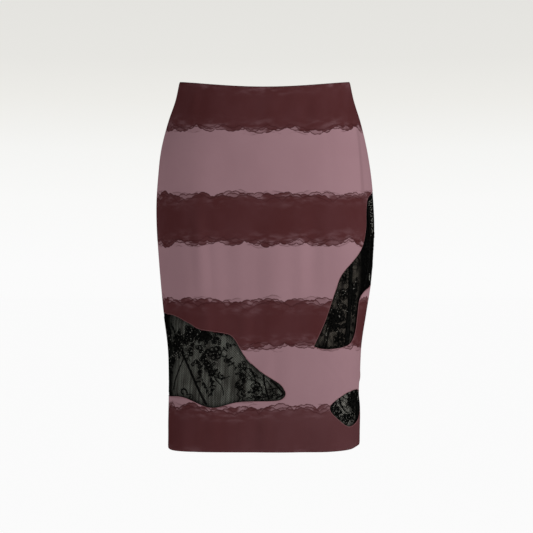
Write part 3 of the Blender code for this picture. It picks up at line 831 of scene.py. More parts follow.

# %% [markdown]
# ## Laying out the lace
#
# Each window gets its own arrangement: flowers and berries gathered in its upper half, sprays
# hanging from them, thick cords along its folds, strings of beads, and scalloped borders near its
# point. Short pale stitches lie among the flowers; they stand in for glints on the thread, as painted
# highlights. Places are written as around and drop, in millimetres, so they can be moved by hand.

# %% Lace pieces
# flower, petals: centre, size, count, turn, stroke     rings: centres, radii, stroke
# beads: line, count, radius, stroke                    roses: centres, radius, stroke
# spray: foot, length, pairs, turn, bend, leaf, fat     cord: line, stroke
# scallops: line, count, height, stroke                 berries: centre, spread, count, seed
# tendril: centre, radius, turns, turn, stroke, hand
LAYOUTS = {
    "left": {
        flower: [
            ((-77, 438), 10.5, 6, 0.2, BOLD), ((-141, 417), 7.5, 5, 0.4, BOLD),
            ((-129, 421), 6, 5, 0.9), ((-148, 435), 6.5, 5, 0.1, BOLD), ((-157, 452), 5.5, 5, 0.6),
            ((-121, 404), 7, 5, 0.9, BOLD), ((-98, 411), 8, 6, 0.4, BOLD),
            ((-172, 408), 7.5, 5, 0.0, BOLD),
        ],
        petals: [
            ((-10, 493), 9.5, 5, 1.2, MEDIUM), ((-10, 493), 5.5, 5, 1.8, FINE),
            ((-18, 474), 7.5, 4, 0.5, FINE), ((14, 496), 6.5, 4, 0.2, FINE),
        ],
        roses: [
            ([(-117, 440), (-101, 459)], 3, BOLD),
            ([(-112, 408), (-103, 413), (-94, 408), (-126, 410), (-85, 414), (-118, 417)], 3, 1.2),
        ],
        beads: [
            ([(-106, 428), (-96, 438), (-92, 451), (-86, 464)], 10, 2.7, 1.1),
            ([(-113, 455), (-103, 451), (-94, 444), (-88, 436)], 8, 2.4, BOLD),
        ],
        berries: [
            ((-104, 410), (18, 7), 90, 3), ((-146, 428), (8, 9), 36, 5), ((-74, 420), (10, 6), 16, 4),
            ((-164, 468), (5, 14), 18, 9), ((-84, 455), (8, 8), 16, 8), ((-34, 484), (4.2, 17), 30, 11),
            ((-4, 506), (11, 2.5), 14, 14),
        ],
        spray: [
            ((-118, 432), 24, 4, np.pi - 0.2, 0.1, 7, 0.9), ((-91, 466), 30, 4, -1.65, 0.4, 6.8),
            ((-87, 467), 31, 5, -2.6, 0.2, 6.6, 1.4),
            ((-100, 459), 26, 4, np.pi - 0.15, -0.1, 6.6, 1.6), ((-78, 462), 18, 3, -2.2, 0.1),
            ((-82, 476), 26, 4, -2.75, 0.35, 7, 1.3), ((-96, 478), 30, 4, np.pi + 0.25, -0.3, 7, 1.3),
            ((-66, 442), 30, 4, -1.95, 0.35, 7), ((-66, 434), 22, 4, -0.9, 0.2),
            ((-60, 446), 14, 3, -2.5, 0.1), ((-110, 420), 20, 4, 2.4, -0.2),
            ((-150, 412), 22, 4, 0.4, -0.2), ((-132, 432), 18, 3, np.pi - 0.3, 0.2),
            ((-178, 420), 38, 6, np.pi - 0.1, 0.1), ((-188, 450), 36, 6, np.pi - 0.2, 0.15),
        ],
        cord: [
            ([(-98, 452), (-82, 470), (-66, 478), (-52, 474)], MEDIUM),
            ([(-82, 456), (-76, 476), (-64, 490), (-60, 504)], MEDIUM),
            ([(-152, 410), (-138, 433), (-122, 458), (-106, 486), (-87, 519)], 1.8),
            ([(-128, 442), (-137, 460), (-148, 482), (-152, 498)], BOLD),
            ([(-204, 384), (-198, 410), (-190, 440), (-184, 470), (-180, 504)], 2.6),
            ([(-184, 396), (-168, 424), (-160, 444)], BOLD),
            ([(12, 480), (19, 486), (28, 495), (33, 502), (22, 509)], 1.3),
            ([(0, 472), (4, 490), (11, 510)], CORD),
            ([(-20, 462), (-12, 480), (-14, 500), (-10, 511)], BOLD),
            ([(-18, 478), (-6, 486), (0, 498), (-4, 510)], MEDIUM),
            ([(6, 480), (13, 490), (17, 500), (15, 509)], MEDIUM),
        ],
        scallops: [
            ([(-40, 454), (-36, 468), (-41, 488), (-38, 514)], 7, 4.2, MEDIUM),
            ([(-30, 454), (-25, 470), (-30, 492), (-26, 514)], 7, -3.6, MEDIUM),
            ([(-34, 450), (-12, 470), (6, 482)], 7, -2.6, MEDIUM),
            ([(-24, 510), (4, 508), (24, 504)], 8, 2.6, MEDIUM),
        ],
        tendril: [
            ((-128, 501), 8.2, 0.9, -0.5, 1.2), ((-114, 508), 5.5, 1.3, 2.4, MEDIUM, -1),
            ((20, 498), 6, 0.8, 0.9, MEDIUM), ((-16, 503), 5, 0.9, 2.6, MEDIUM, -1),
        ],
    },
    "right": {
        flower: [
            ((119, 381), 9.5, 6, 0.3, CORD), ((117, 417), 7.5, 5, 0.7, FINE), ((126, 346), 8.5, 6, 0.1),
            ((147, 338), 6, 5, 0.3), ((178, 268), 9, 6, 0.2), ((196, 214), 9, 5, 0.9),
            ((204, 300), 9, 5, 0.3),
        ],
        petals: [
            ((128, 322), 8.5, 5, 0.6, FINE), ((147, 296), 11, 3, 0.5, FINE),
        ],
        roses: [
            ([(110, 396), (128, 366), (134, 340), (118, 358), (132, 412), (128, 396)], 3, 1.1),
        ],
        beads: [
            ([(142, 336), (145.5, 348), (142.5, 360), (146, 376)], 10, 2, MEDIUM),
        ],
        berries: [
            ((112, 384), (4, 12), 44, 21), ((147, 350), (3, 36), 30, 25),
            ((144, 352), (2.5, 11), 26, 26), ((114, 398), (10, 8), 20, 22),
            ((178, 296), (12, 16), 30, 23), ((200, 240), (10, 24), 36, 24),
            ((104, 390), (4, 9), 14, 27),
        ],
        spray: [
            ((124, 404), 26, 5, np.pi + 0.3, 0.2, 6, 1), ((132, 366), 30, 5, np.pi + 0.4, 0.2),
            ((117, 402), 24, 4, np.pi + 0.3, 0.2, 5.6, 0.8), ((126, 330), 22, 4, -0.1, 0.2, 5.6, 0.8),
            ((180, 280), 34, 6, np.pi + 0.1, 0.1), ((200, 205), 30, 5, 0.1, -0.1),
            ((212, 262), 34, 6, np.pi, 0.1),
        ],
        cord: [
            ([(140, 284), (138.2, 330), (138, 380), (138, 428)], 3.6),
            ([(136.5, 370), (134.5, 400), (134, 430)], 2.6),
            ([(182, 196), (188, 250), (184, 300), (172, 338)], 3),
            ([(108, 370), (97.5, 403), (93, 430)], BOLD), ([(112, 376), (102, 405), (98, 430)], BOLD),
        ],
        scallops: [
            ([(110, 376), (99.5, 404), (95.5, 430)], 9, 1.2, FINE),
            ([(86, 426), (110, 428), (136, 420)], 7, -3, BOLD),
        ],
        tendril: [
            ((122, 366), 6.5, 1.4, 0.4, MEDIUM), ((152, 330), 6, 1.3, 2.0, MEDIUM, -1),
        ],
    },
    "small": {
        petals: [
            ((136, 513), 10.5, 2, 1.1, FINE), ((156, 511), 8.5, 4, 1.3, MEDIUM),
            ((154, 534), 8.5, 4, 0.3, FINE), ((158, 520), 6.5, 5, 0.9, BOLD),
        ],
        rings: [
            ([(152, 520)], [2], BOLD),
        ],
        roses: [
            ([(122, 535), (143, 546), (152, 541)], 2.4, 1.1),
        ],
        beads: [
            ([(110.5, 522), (115.5, 531), (128, 541), (142, 549)], 11, 2.3, MEDIUM),
            ([(114.5, 516), (122, 527), (134, 537), (150, 545)], 10, 2.4, BOLD),
        ],
        berries: [
            ((150, 519), (4, 5.5), 14, 33), ((139, 543), (9, 3.5), 10, 31), ((116, 523), (3, 5), 5, 32),
            ((158, 512), (4, 7), 8, 34),
        ],
        spray: [
            ((148, 507), 16, 3, -1.3, 0.2, 7, 1.2), ((121, 519), 16, 3, np.pi - 0.5, 0.3, 6, 0.9),
            ((158, 522), 24, 5, np.pi - 0.2, -0.2, 6.2, 1),
        ],
        cord: [
            ([(145, 507), (148, 518), (154, 530)], MEDIUM),
            ([(127, 505), (128, 518), (136, 530), (150, 538)], 1.1),
            ([(142, 502), (149, 508), (157, 514), (160, 526)], BOLD),
            ([(158, 502), (161, 514), (160, 530), (156, 548)], MEDIUM),
            ([(163, 505), (168, 520), (165, 540)], BOLD), ([(172, 498), (177, 516), (172, 544)], 3.8),
        ],
    },
}
# pale stitches that stand in for glints on the thread: painted highlights
GLINT_KNOTS = {
    # centre, spread, count, seed
    "left": [((-112, 414), (20, 7), 26, 51), ((-146, 440), (8, 9), 18, 52),
             ((-92, 448), (14, 10), 30, 53), ((-58, 438), (6, 6), 6, 54),
             ((-10, 490), (12, 8), 12, 55), ((-170, 430), (6, 16), 10, 56)],
    "right": [((119, 381), (0.8, 0.8), 5, 66), ((120, 360), (8, 16), 12, 61),
              ((98, 412), (1.2, 12), 9, 62), ((193, 205), (4, 16), 40, 63), ((197, 238), (2, 10), 22, 67),
              ((191.5, 320.5), (1.4, 3.5), 16, 64), ((146, 336), (2, 6), 5, 65)],
    "small": [((138, 532), (12, 6), 12, 71), ((150, 545), (8, 3), 8, 72),
              ((115, 522), (2, 5), 5, 74), ((177, 508), (1.5, 6), 12, 73)],
}
GLINT_KNOT_HALF_LENGTH, GLINT_KNOT_HALF_WIDTH, GLINT_KNOT_TOP, GLINT_KNOT_CLEAR = 0.0006, 0.0005, -0.00166, 0.003


def lifted(key):
    """How far the lace in a window stands out, as a function of places."""
    return lambda flat: window_lift(OUTLINES[key], flat)


def lace_piece(key):
    """The net and every figure of one window's layout."""
    parts = [nets[key]]
    figures = []
    for figure, rows in LAYOUTS[key].items():
        for row in rows:
            made = figure(*row)
            figures += made if isinstance(made, list) else [made]
    for paths, half_width, closed in figures:
        keep = lies_within(OUTLINES[key], paths * MM, LACE_ALLOWANCE, SEAM_CLEAR)
        parts.append(carry(ribbon(MOTIF_BASE, MOTIF_TOP), paths * MM, half_width * MM, closed, keep))
    return carried_mesh(f"{key}_lace", parts, lifted(key))


def glint_knots_piece(key):
    """Short pale stitches among the berries and flowers, as painted glints on the thread: ribbons of two
    points, turned by chance from a seeded generator. A stitch is kept where both its ends lie well
    inside the window."""
    parts = []
    for centre, spread, count, seed in GLINT_KNOTS[key]:
        chance = np.random.default_rng(seed)
        spots = scattered(chance, centre, spread, count) * MM
        turn = chance.uniform(0, np.pi, count)
        reach = np.column_stack((np.cos(turn), np.sin(turn))) * GLINT_KNOT_HALF_LENGTH
        paths = np.stack((spots - reach, spots + reach), axis=1)
        keep = lies_within(OUTLINES[key], paths, -GLINT_KNOT_CLEAR, GLINT_KNOT_CLEAR)
        keep[:] = keep.all(axis=1)[:, None]
        parts.append(carry(ribbon(MOTIF_BASE, GLINT_KNOT_TOP), paths, GLINT_KNOT_HALF_WIDTH, False, keep))
    return carried_mesh(f"{key}_knots", parts, lifted(key))


lace = {key: lace_piece(key) for key in OUTLINES}
glint_knots = {key: glint_knots_piece(key) for key in OUTLINES}
for key, piece in lace.items():
    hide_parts(f"lace_{key}")
    print(piece.name, "triangles:", triangles_of(piece), "and knots:", triangles_of(glint_knots[key]))

# %% [markdown]
# ## The dark backing
#
# Behind each lace lies a plain dark cloth. It shows through the meshes of the net, and it hangs in
# fine upright ripples. It is cut from the same kind of grid as the front. A value at each of its
# points, from 1 at the window's edge to nought further in, says where its material paints a shadow
# under the edge.

# %% Backing pieces
BACKING_ALLOWANCE = 0.012
BACKING_MARGIN = 0.016
BACKING_OUT = -0.0034
BACKING_WALL = 0.0008
BACKING_SPACING = 0.0026
RIPPLES = ((0.0150, 0.00016), (0.0071, 0.00010), (0.0260, 0.00014))
RIPPLE_DRIFT = 0.05
EDGE_SHADOW_REACH = 0.0045


def backing_piece(key, seed):
    """A grid over the window and its allowance. The ripples are upright waves of three lengths whose
    phases drift slowly down the cloth."""
    outline = OUTLINES[key]
    low, high = outline.min(axis=0) - BACKING_MARGIN, outline.max(axis=0) + BACKING_MARGIN
    half = half_girth("front", outline[:, 1]).max()
    left, right = max(low[0] / half, -1), min(high[0] / half, 1)
    shares = np.linspace(left, right, int((right - left) * half / BACKING_SPACING) + 1)
    drops = np.linspace(low[1], high[1], int((high[1] - low[1]) / BACKING_SPACING) + 1)

    def depth_at(flat):
        return BACKING_ALLOWANCE - outside_by(outline, flat)

    flat, faces = cut_sheet("front", shares, drops, BACKING_SPACING, depth_at)
    out = BACKING_OUT + window_lift(outline, flat)
    phases = np.random.default_rng(seed).uniform(0, 2 * np.pi, len(RIPPLES))
    for (length, height), phase in zip(RIPPLES, phases):
        drifted = flat[:, 0] + RIPPLE_DRIFT * flat[:, 1]
        out += height * np.sin(2 * np.pi * drifted / length + phase)
    # painted shadow under the window's edge: 1 at the edge, falling away inwards
    edge = np.exp(-np.clip(-outside_by(outline, flat), 0, None) / EDGE_SHADOW_REACH)
    thing = make_mesh(f"{key}_backing", place("front", flat, out), faces, flat, edge)
    thicken(thing, BACKING_WALL)
    return thing


backings = {key: backing_piece(key, seed) for seed, key in enumerate(OUTLINES, start=41)}
for key, piece in backings.items():
    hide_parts(f"underlay_{key}")
    print(piece.name, "triangles:", triangles_of(piece))

# %% [markdown]
# ## Materials: the node helpers
#
# A material is a graph of nodes. Here a number that nodes work out is wrapped in a small class, and
# arithmetic on it adds the nodes, so a pattern can be written as the formula that it is. Colours are
# given as they look on screen and turned into the linear values that the shader wants.

# %% Node helpers
def linear(red, green, blue):
    """Screen values from 0 to 255 as linear light."""
    value = np.array([red, green, blue]) / 255
    return tuple(float(v) for v in np.where(value <= 0.04045, value / 12.92,
                                            ((value + 0.055) / 1.055) ** 2.4))


class Formula:
    """A number or colour that comes out of a node. Each step of arithmetic adds one Math node."""

    def __init__(self, tree, socket):
        self.tree = tree
        self.socket = socket

    def step(self, operation, *values):
        """One Math node that takes these values in their order."""
        inputs = dict(enumerate(values))
        node = add_node(self.tree, "ShaderNodeMath", inputs, operation=operation)
        return Formula(self.tree, node.outputs[0])

    def __add__(self, other):
        return self.step("ADD", self, other)

    def __sub__(self, other):
        return self.step("SUBTRACT", self, other)

    def __rsub__(self, other):
        return self.step("SUBTRACT", other, self)

    def __mul__(self, other):
        return self.step("MULTIPLY", self, other)

    def __truediv__(self, other):
        return self.step("DIVIDE", self, other)

    def __pow__(self, other):
        return self.step("POWER", self, other)

    def __abs__(self):
        return self.step("ABSOLUTE", self)

    def over(self, other):
        """1 where this is greater, else nought."""
        return self.step("GREATER_THAN", self, other)

    def larger(self, other):
        """The larger of the two."""
        return self.step("MAXIMUM", self, other)


def add_node(tree, kind, inputs=None, **settings):
    """A node with its settings, whose inputs are linked to other nodes or set to a number or a colour."""
    node = tree.nodes.new(kind)
    for name, value in settings.items():
        setattr(node, name, value)
    for name, value in (inputs or {}).items():
        socket = node.inputs[name]
        if isinstance(value, Formula):
            tree.links.new(value.socket, socket)
        elif isinstance(value, bpy.types.NodeSocket):
            tree.links.new(value, socket)
        elif socket.type == "RGBA":
            socket.default_value = (*value[:3], 1.0)
        else:
            socket.default_value = value
    return node


def rise(value, low, high, start=0.0, end=1.0):
    """Goes smoothly from start to end as the value goes from low to high."""
    inputs = {"Value": value, "From Min": low, "From Max": high, "To Min": start, "To Max": end}
    node = add_node(value.tree, "ShaderNodeMapRange", inputs, interpolation_type="SMOOTHSTEP")
    return Formula(value.tree, node.outputs["Result"])


def wave(value, length):
    """A sine that comes round once in each length."""
    return value.step("SINE", value * (2 * np.pi / length))


def blend(factor, first, second):
    """Two colours mixed, with as much of the second as the factor says."""
    tree = (factor if isinstance(factor, Formula) else first).tree
    node = add_node(tree, "ShaderNodeMix", {0: factor, 6: first, 7: second}, data_type="RGBA")
    return Formula(tree, node.outputs[2])


def noise(u, v, scale_u, scale_v, detail=2.0):
    """Soft noise on the cloth, from 0 to 1, with its own scale each way."""
    at = add_node(u.tree, "ShaderNodeCombineXYZ", {0: u * scale_u, 1: v * scale_v})
    inputs = {"Vector": at.outputs[0], "Scale": 1.0, "Detail": detail}
    node = add_node(u.tree, "ShaderNodeTexNoise", inputs, noise_dimensions="2D")
    return Formula(u.tree, node.outputs[0])


def new_material(name, roughness, specular=0.0):
    """A material with one shader, given its gloss."""
    material = bpy.data.materials.new(name)
    material.use_nodes = True
    shader = material.node_tree.nodes["Principled BSDF"]
    shader.inputs["Roughness"].default_value = roughness
    shader.inputs["Specular IOR Level"].default_value = specular
    return material, shader


def cloth_places(material):
    """Around and drop in metres, from the piece's UV map."""
    tree = material.node_tree
    uv = add_node(tree, "ShaderNodeUVMap", uv_map="cloth")
    split = add_node(tree, "ShaderNodeSeparateXYZ", {0: uv.outputs[0]})
    return Formula(tree, split.outputs[0]), Formula(tree, split.outputs[1])


def paint(shader, color, height=None, strength=0.0, distance=0.0):
    """Gives a shader its colour and, where a height is given, a low relief of that distance."""
    color.tree.links.new(color.socket, shader.inputs["Base Color"])
    if height is not None:
        inputs = {"Strength": strength, "Distance": distance, "Height": height}
        bump = add_node(color.tree, "ShaderNodeBump", inputs)
        color.tree.links.new(bump.outputs[0], shader.inputs["Normal"])


print("mauve in linear light:", [round(v, 3) for v in linear(137, 106, 112)])

# %% [markdown]
# ## The striped cloth
#
# The stripes are wide and level, and only their edges are wild: layers of sheer cloth with rounded
# scallops lie one behind another, each with a thin dark rim, before the stripe is solid. One number
# does most of the work: how far a place lies inside the nearest dark stripe. Scallops are added to
# it with a one-dimensional Voronoi pattern, whose squared distance gives round bulges and sharp
# nicks, as frilled cloth has. A faint dark line down the right of the front is painted shade along a
# fold, colour alone. The lowest dark stripe is painted lighter towards the right, as painted light,
# and the turned edges round the windows get a paler tone as a painted highlight.

# %% Striped cloth material
STRIPES = ((-0.0060, 0.0785), (0.187, 0.2650), (0.3555, 0.4280), (0.523, 0.606))
MAUVE = linear(141, 110, 116)
BURGUNDY = linear(70, 36, 37)
RIM_SHADE = linear(52, 23, 24)
EDGE_SHIFT = 0.731
WANDER, WANDER_SCALE = 0.018, 13.0
FRILLS = (
    # shift along, cell, height, fine cell, fine height, inset, veil from and to, rim from and to
    (0.52, 0.047, 0.0046, 0.0130, 0.0012, -0.0012, 0.00, 0.14, 0.00, 0.34),
    (0.00, 0.041, 0.0056, 0.0115, 0.0017, 0.0022, 0.32, 0.97, 0.90, 0.97),
    (0.31, 0.029, 0.0042, 0.0090, 0.0014, 0.0044, 0.30, 0.97, 0.85, 0.97),
    (0.77, 0.036, 0.0036, 0.0110, 0.0010, 0.0066, 0.40, 0.97, 0.75, 0.97),
)
FRAY, FRAY_SCALE = 0.0018, 420.0
FEATHER = 0.0004
PATCHY = (0.43, 0.57)
SOLID_INSET = 0.0050
SOLID_FEATHER = 0.0045
RIM_WIDTH, RIM_STRENGTH = 0.0015, 0.7
STREAKED = -0.26
# painted shade: where a fold down the right of the front lies, and its darker tone
CREASE_SHADE_AT, CREASE_SHADE_TONE = 0.1695, linear(60, 36, 38)
MOTTLE_SHADE = linear(110, 76, 82)
# a paler tone for the turned edges round the windows: a painted highlight
RIM_HIGHLIGHT_TONE, RIM_HIGHLIGHT_SHARE = linear(132, 92, 94), 0.45
WALE, COURSE = 0.0012, 0.0010


def scallop(along, cell, height):
    """Height times one less four squared distances to the nearest cell centre, in cells."""
    inputs = {"W": along / cell, "Scale": 1.0, "Randomness": 0.85}
    node = add_node(along.tree, "ShaderNodeTexVoronoi", inputs, voronoi_dimensions="1D")
    return Formula(along.tree, node.outputs["Distance"]) ** 2.0 * (-4 * height) + height


def stripe_depth(u, v):
    """How far inside the nearest dark stripe, and a place along that stripe's edge that differs from
    edge to edge."""
    insides = [(bottom - top) / 2 - abs(v - (top + bottom) / 2) for top, bottom in STRIPES]
    depth = insides[0]
    for inside in insides[1:]:
        depth = depth.larger(inside)
    edges = [edge for stripe in STRIPES for edge in stripe]
    along = u
    for upper, lower in zip(edges[:-1], edges[1:]):
        along = v.over((upper + lower) / 2) * EDGE_SHIFT + along
    return depth, along


def striped_color(u, v):
    """The stripes' colour, and how dark each place is from 0 to 1."""
    depth, along = stripe_depth(u, v)
    depth = (noise(along, 0.0, WANDER_SCALE, 0.0) - 0.5) * WANDER + depth
    frayed = (noise(u, v, FRAY_SCALE, FRAY_SCALE) - 0.5) * FRAY + depth
    clear, rims = 1.0, 0.0
    for shift, cell, height, fine_cell, fine_height, inset, thin, thick, faint, strong in FRILLS:
        at = along + shift
        reach = frayed + scallop(at, cell, height) + scallop(at, fine_cell, fine_height) - inset
        covered = rise(reach, -FEATHER, FEATHER)
        patch = noise(at, v, 30.0, 40.0)
        veil = covered * rise(patch, *PATCHY, thin, thick)
        line = covered * rise(reach, 0.4 * RIM_WIDTH, 1.6 * RIM_WIDTH, 1.0, 0.0)
        line = line * rise(patch, *PATCHY, faint, strong)
        clear = (1.0 - veil.larger(line)) * clear
        rims = line.larger(rims)
    solid = rise(depth - SOLID_INSET, 0.0, SOLID_FEATHER)
    dark = 1.0 - clear * (1.0 - solid)
    streaks = rise(noise(along, v, 48.0, 120.0, 3.0), 0.36, 0.74)
    clouds = rise(noise(along, v, 15.0, 30.0), 0.44, 0.62, 0.25, 1.0)
    near = rise(depth, 0.004, 0.028, 1.0, 0.0) * streaks * clouds
    dark = near * dark * STREAKED + dark
    # painted light: the lowest dark stripe is lighter towards the right, where the key light falls
    painted_light_right = rise(v, 0.50, 0.54, 0.0, 0.075) * rise(u, -0.16, 0.12)
    dark = dark - painted_light_right * dark
    rims = rims * rise(depth, 0.006, 0.018, 1.0, 0.0) * RIM_STRENGTH
    return blend(rims, blend(dark, MAUVE, BURGUNDY), RIM_SHADE), dark


def painted_crease_shade(u, v):
    """How much painted shade lies on a fold down the right of the front, from the hip curve to the tall
    window: most on the fold's line, and a little from there to the side seam."""
    on_line = rise(abs(u - CREASE_SHADE_AT), 0.003, 0.008, 0.16, 0.0)
    shade = on_line.larger(rise(u, CREASE_SHADE_AT, CREASE_SHADE_AT + 0.004, 0.0, 0.07))
    for coordinate, start, end in ((v, 0.055, 0.085), (v, 0.215, 0.195), (u, 0.60, 0.50)):
        shade = shade * rise(coordinate, start, end)
    return shade


def cloth_surface(name, rim_highlight):
    """Striped jersey: its colour, a fine knit of wales and courses, and the frills' low relief. A turned
    edge is also mixed towards a paler tone, as a painted highlight.
    """
    material, shader = new_material(name, 0.78)
    u, v = cloth_places(material)
    color, dark = striped_color(u, v)
    color = blend(rise(noise(u, v, 22.0, 14.0, 3.0), 0.25, 0.75, 0.0, 0.08), color, MOTTLE_SHADE)
    # painted shade along the fold down the right of the front
    color = blend(painted_crease_shade(u, v), color, CREASE_SHADE_TONE)
    # painted highlight: the turned edge is mixed towards a paler tone
    if rim_highlight:
        color = blend(rim_highlight, color, RIM_HIGHLIGHT_TONE)
    knit = wave(u, WALE) * wave(v, COURSE)
    height = dark * 0.8 + (knit * 0.25 + noise(u, v, 900.0, 900.0))
    paint(shader, color, height, 0.35, 0.0003)
    return material


striped_cloth = cloth_surface("striped jersey", 0.0)
turned_edge = cloth_surface("turned jersey edge, painted highlight", RIM_HIGHLIGHT_SHARE)
print("nodes in the striped jersey:", len(striped_cloth.node_tree.nodes))

# %% [markdown]
# ## The lace thread and the backing
#
# The thread is black with a low lustre. The backing is a dark greenish grey with upright streaks,
# because its own yarn and the ripples run that way. It has painted shade that darkens it towards the
# side seam, and a painted shadow under the edge of its window.

# %% Lace and backing materials
BLACK = linear(7, 7, 7)
BACKING_TONE_AND_SHADE = {
    # pale, deep, painted shade fades in from and to around, streaks across and along, painted shadow at
    # the window's edge
    "left": ((110, 111, 104), (64, 62, 58), -0.134, -0.181, 310.0, 11.0, 0.85),
    "right": ((84, 79, 72), (38, 35, 33), 0.146, 0.166, 190.0, 90.0, 0.50),
    "small": ((136, 134, 127), (84, 82, 77), 0.147, 0.177, 150.0, 60.0, 0.65),
}


def thread_surface():
    """Black yarn with a fine slanting twist."""
    material, shader = new_material("black lace thread", 0.62)
    u, v = cloth_places(material)
    tone = rise(noise(u, v, 260.0, 260.0), 0.3, 0.7)
    paint(shader, blend(tone, linear(5, 5, 5), linear(16, 16, 15)), wave(u + v, 0.0008), 0.4, 0.0001)
    return material


def glint_knot_surface():
    """Pale yarn, a little glossy and uneven in tone, for stitches that are painted glints."""
    material, shader = new_material("pale lace stitches, painted glints", 0.5, 0.2)
    tone = noise(*cloth_places(material), 500.0, 500.0, 1.0)
    paint(shader, blend(tone, linear(84, 82, 76), linear(140, 138, 130)))
    return material


def backing_surface(name, pale, deep, fade_from, fade_to, across, along, edge_shadow):
    """Upright streaks between two tones, with painted shade that goes to near black between two places
    around, and a painted shadow under the window's edge.
    """
    material, shader = new_material(name, 0.75)
    u, v = cloth_places(material)
    tone = noise(u, v, 40.0, 26.0) * 0.6 + noise(u, v, across, along, 3.0)
    color = blend(rise(tone, 0.55, 1.10), linear(*deep), linear(*pale))
    edge = add_node(u.tree, "ShaderNodeAttribute", attribute_name="edge").outputs["Fac"]
    # painted shade towards the side seam, and painted shadow under the window's edge
    shade = rise(u, fade_from, fade_to).larger(Formula(u.tree, edge) * edge_shadow)
    paint(shader, blend(shade, color, BLACK), wave(u, 0.0009), 0.3, 0.0002)
    return material


lace_thread = thread_surface()
glint_knot_material = glint_knot_surface()
backing_tone_and_shade = {key: backing_surface(f"{key} backing cloth", *finish)
                  for key, finish in BACKING_TONE_AND_SHADE.items()}

for piece in (front_cloth, back_cloth):
    piece.data.materials.append(striped_cloth)
for piece in rims.values():
    piece.data.materials.append(turned_edge)
for key in OUTLINES:
    lace[key].data.materials.append(lace_thread)
    glint_knots[key].data.materials.append(glint_knot_material)
    backings[key].data.materials.append(backing_tone_and_shade[key])
print("materials:", [material.name for material in bpy.data.materials if material.users])

# %% [markdown]
# ## What each piece rides on and was cut from
#
# The skirt has no joint, so every piece rides on the one body. The size that each sheet was cut to,
# all round on the tube, is worked out and printed.

# %% Bodies and cut sizes
AREA_SQUARE = 0.001
AREA_ROWS = 400


def flat_area(panel, windows):
    """The area of a panel laid flat: breadth at each drop added up, less what lies in its windows."""
    drops = np.linspace(0, SIDE_LENGTH, AREA_ROWS)
    breadth = 2 * half_girth(panel, drops)
    area = float(np.sum((breadth[1:] + breadth[:-1]) / 2 * np.diff(drops)))
    return area - sum(outline_area(outline, 0.0) for outline in windows)


def outline_area(outline, allowance):
    """The area within an outline and its allowance on the panel, counted on squares of 1 mm."""
    low, high = outline.min(axis=0) - allowance, outline.max(axis=0) + allowance
    squares = np.meshgrid(*(np.arange(start, end, AREA_SQUARE) for start, end in zip(low, high)))
    inside = lies_within(outline, np.stack(squares, axis=-1), allowance, 0.0)
    return float(inside.sum()) * AREA_SQUARE**2


def flat_size(outline, allowance):
    """Breadth and length of the part of an outline that lies on the panel, with its allowance."""
    half = half_girth("front", outline[:, 1])
    around = np.clip(outline[:, 0], -half, half)
    return float(np.ptp(around)) + 2 * allowance, float(np.ptp(outline[:, 1])) + 2 * allowance


widest = {panel: 2 * float(HALF_GIRTHS[panel].max()) for panel in ("front", "back")}
sheets = [
    (front_cloth, widest["front"], SIDE_LENGTH, flat_area("front", OUTLINES.values()),
     list(rims.values())),
    (back_cloth, widest["back"], SIDE_LENGTH, flat_area("back", []), []),
]
for key, piece in backings.items():
    width, length = flat_size(OUTLINES[key], BACKING_ALLOWANCE)
    area = outline_area(OUTLINES[key], BACKING_ALLOWANCE)
    sheets.append((piece, width, length, area, [lace[key], glint_knots[key]]))

for piece, width, length, area, with_pieces in sheets:
    print(piece.name, "cut from, mm:", round(1000 * width), "by", round(1000 * length),
          "area, m2:", round(area, 4))

slots = {"striped_cloth": [front_cloth, back_cloth, *rims.values()],
         "black_lace": [*lace.values(), *glint_knots.values()], "dark_underlay": list(backings.values())}
for slot, pieces in slots.items():
    for piece in pieces:
        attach(piece, "root")

# %% [markdown]
# ## Floor, light and camera
#
# A plain pale studio: an even floor well below the hem, a pale surround that is a little darker
# overhead, and one broad soft light well round to the right. The camera stands level, a little over
# two metres away, at the height of the skirt's middle.

# %% Studio and camera
FLOOR_LEVEL = -1.05
SURROUND = (
    # height of the view direction, colour
    (0.000, (251, 251, 251)),
    (0.050, (249, 249, 248)),
    (0.087, (245, 245, 243)),
    (0.124, (237, 236, 232)),
    (0.153, (231, 230, 226)),
    (0.200, (228, 227, 223)),
)
SURROUND_LIGHT = 0.50
FLOOR_HALF, FLOOR_TONE, FLOOR_GLOW = 30.0, 0.08, 0.92
WHITE = (1.0, 1.0, 1.0, 1.0)
KEY_PLACE, KEY_SIZE, KEY_POWER = (0.95, -0.80, 0.16), 0.9, 9.0
CAMERA_PLACE, CAMERA_LENS, CAMERA_FAR = (0.0030, -2.2, -0.3025), 90.43, 200.0
MIDDLE = (0.0, 0.0, -0.30)


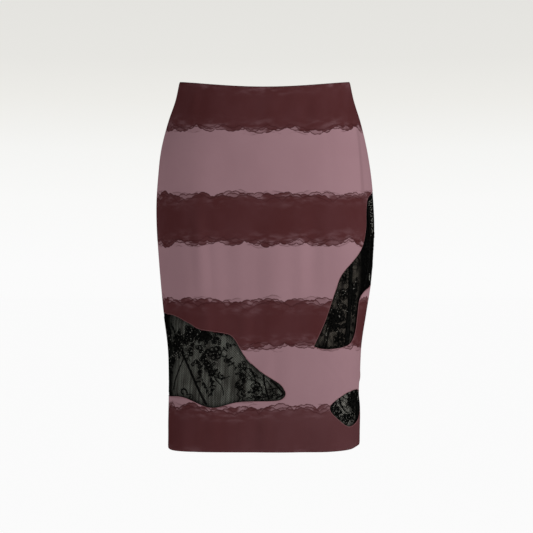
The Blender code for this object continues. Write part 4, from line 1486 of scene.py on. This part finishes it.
def studio_world():
    """A pale surround whose colour follows the height of the direction that is looked in."""
    world = bpy.data.worlds.new("studio")
    bpy.context.scene.world = world
    world.use_nodes = True
    tree = world.node_tree
    tree.nodes.clear()
    where = add_node(tree, "ShaderNodeTexCoord")
    split = add_node(tree, "ShaderNodeSeparateXYZ", {0: where.outputs["Generated"]})
    top = SURROUND[-1][0]
    ramp = add_node(tree, "ShaderNodeValToRGB", {0: Formula(tree, split.outputs[2]) / top})
    stops = ramp.color_ramp.elements
    for index, (height, color) in enumerate(SURROUND):
        stop = stops[index] if index < 2 else stops.new(height / top)
        stop.position = height / top
        stop.color = (*linear(*color), 1.0)
    seen = add_node(tree, "ShaderNodeBackground", {"Color": ramp.outputs[0], "Strength": 1.0})
    cast = add_node(tree, "ShaderNodeBackground", {"Color": WHITE, "Strength": SURROUND_LIGHT})
    path = add_node(tree, "ShaderNodeLightPath")
    parts = {0: path.outputs["Is Camera Ray"], 1: cast.outputs[0], 2: seen.outputs[0]}
    mix = add_node(tree, "ShaderNodeMixShader", parts)
    add_node(tree, "ShaderNodeOutputWorld", {0: mix.outputs[0]})


def studio_floor():
    """One large square, pale and matt."""
    corners = FLOOR_HALF * np.array([(-1, -1), (1, -1), (1, 1), (-1, 1)])
    floor = make_mesh("floor", np.column_stack((corners, np.full(4, FLOOR_LEVEL))), [[0, 1, 2, 3]])
    material, shader = new_material("pale floor", 1.0)
    shader.inputs["Base Color"].default_value = (FLOOR_TONE, FLOOR_TONE, FLOOR_TONE, 1)
    shader.inputs["Emission Color"].default_value = WHITE
    shader.inputs["Emission Strength"].default_value = FLOOR_GLOW
    floor.data.materials.append(material)


def put(name, data, spot):
    """An object for a light or a camera, at its place."""
    thing = bpy.data.objects.new(name, data)
    bpy.context.scene.collection.objects.link(thing)
    thing.location = spot
    return thing


def key_light():
    """A round soft light, turned to the middle of the skirt."""
    data = bpy.data.lights.new("key", "AREA")
    data.shape = "DISK"
    data.size = KEY_SIZE
    data.energy = KEY_POWER
    x, y, z = np.subtract(MIDDLE, KEY_PLACE)
    put("key", data, KEY_PLACE).rotation_euler = (np.arctan2(np.hypot(x, y), -z), 0.0, np.arctan2(-x, y))


def photo_camera():
    """A level camera that looks along +Y."""
    data = bpy.data.cameras.new("camera")
    data.sensor_width = 36.0
    data.lens = CAMERA_LENS
    data.clip_end = CAMERA_FAR
    camera = put("camera", data, CAMERA_PLACE)
    camera.rotation_euler = (np.pi / 2, 0.0, 0.0)
    bpy.context.scene.camera = camera


studio_world()
studio_floor()
key_light()
photo_camera()
bpy.context.scene.view_settings.view_transform = "Standard"
print("camera looks along +Y from", tuple(bpy.context.scene.camera.location))
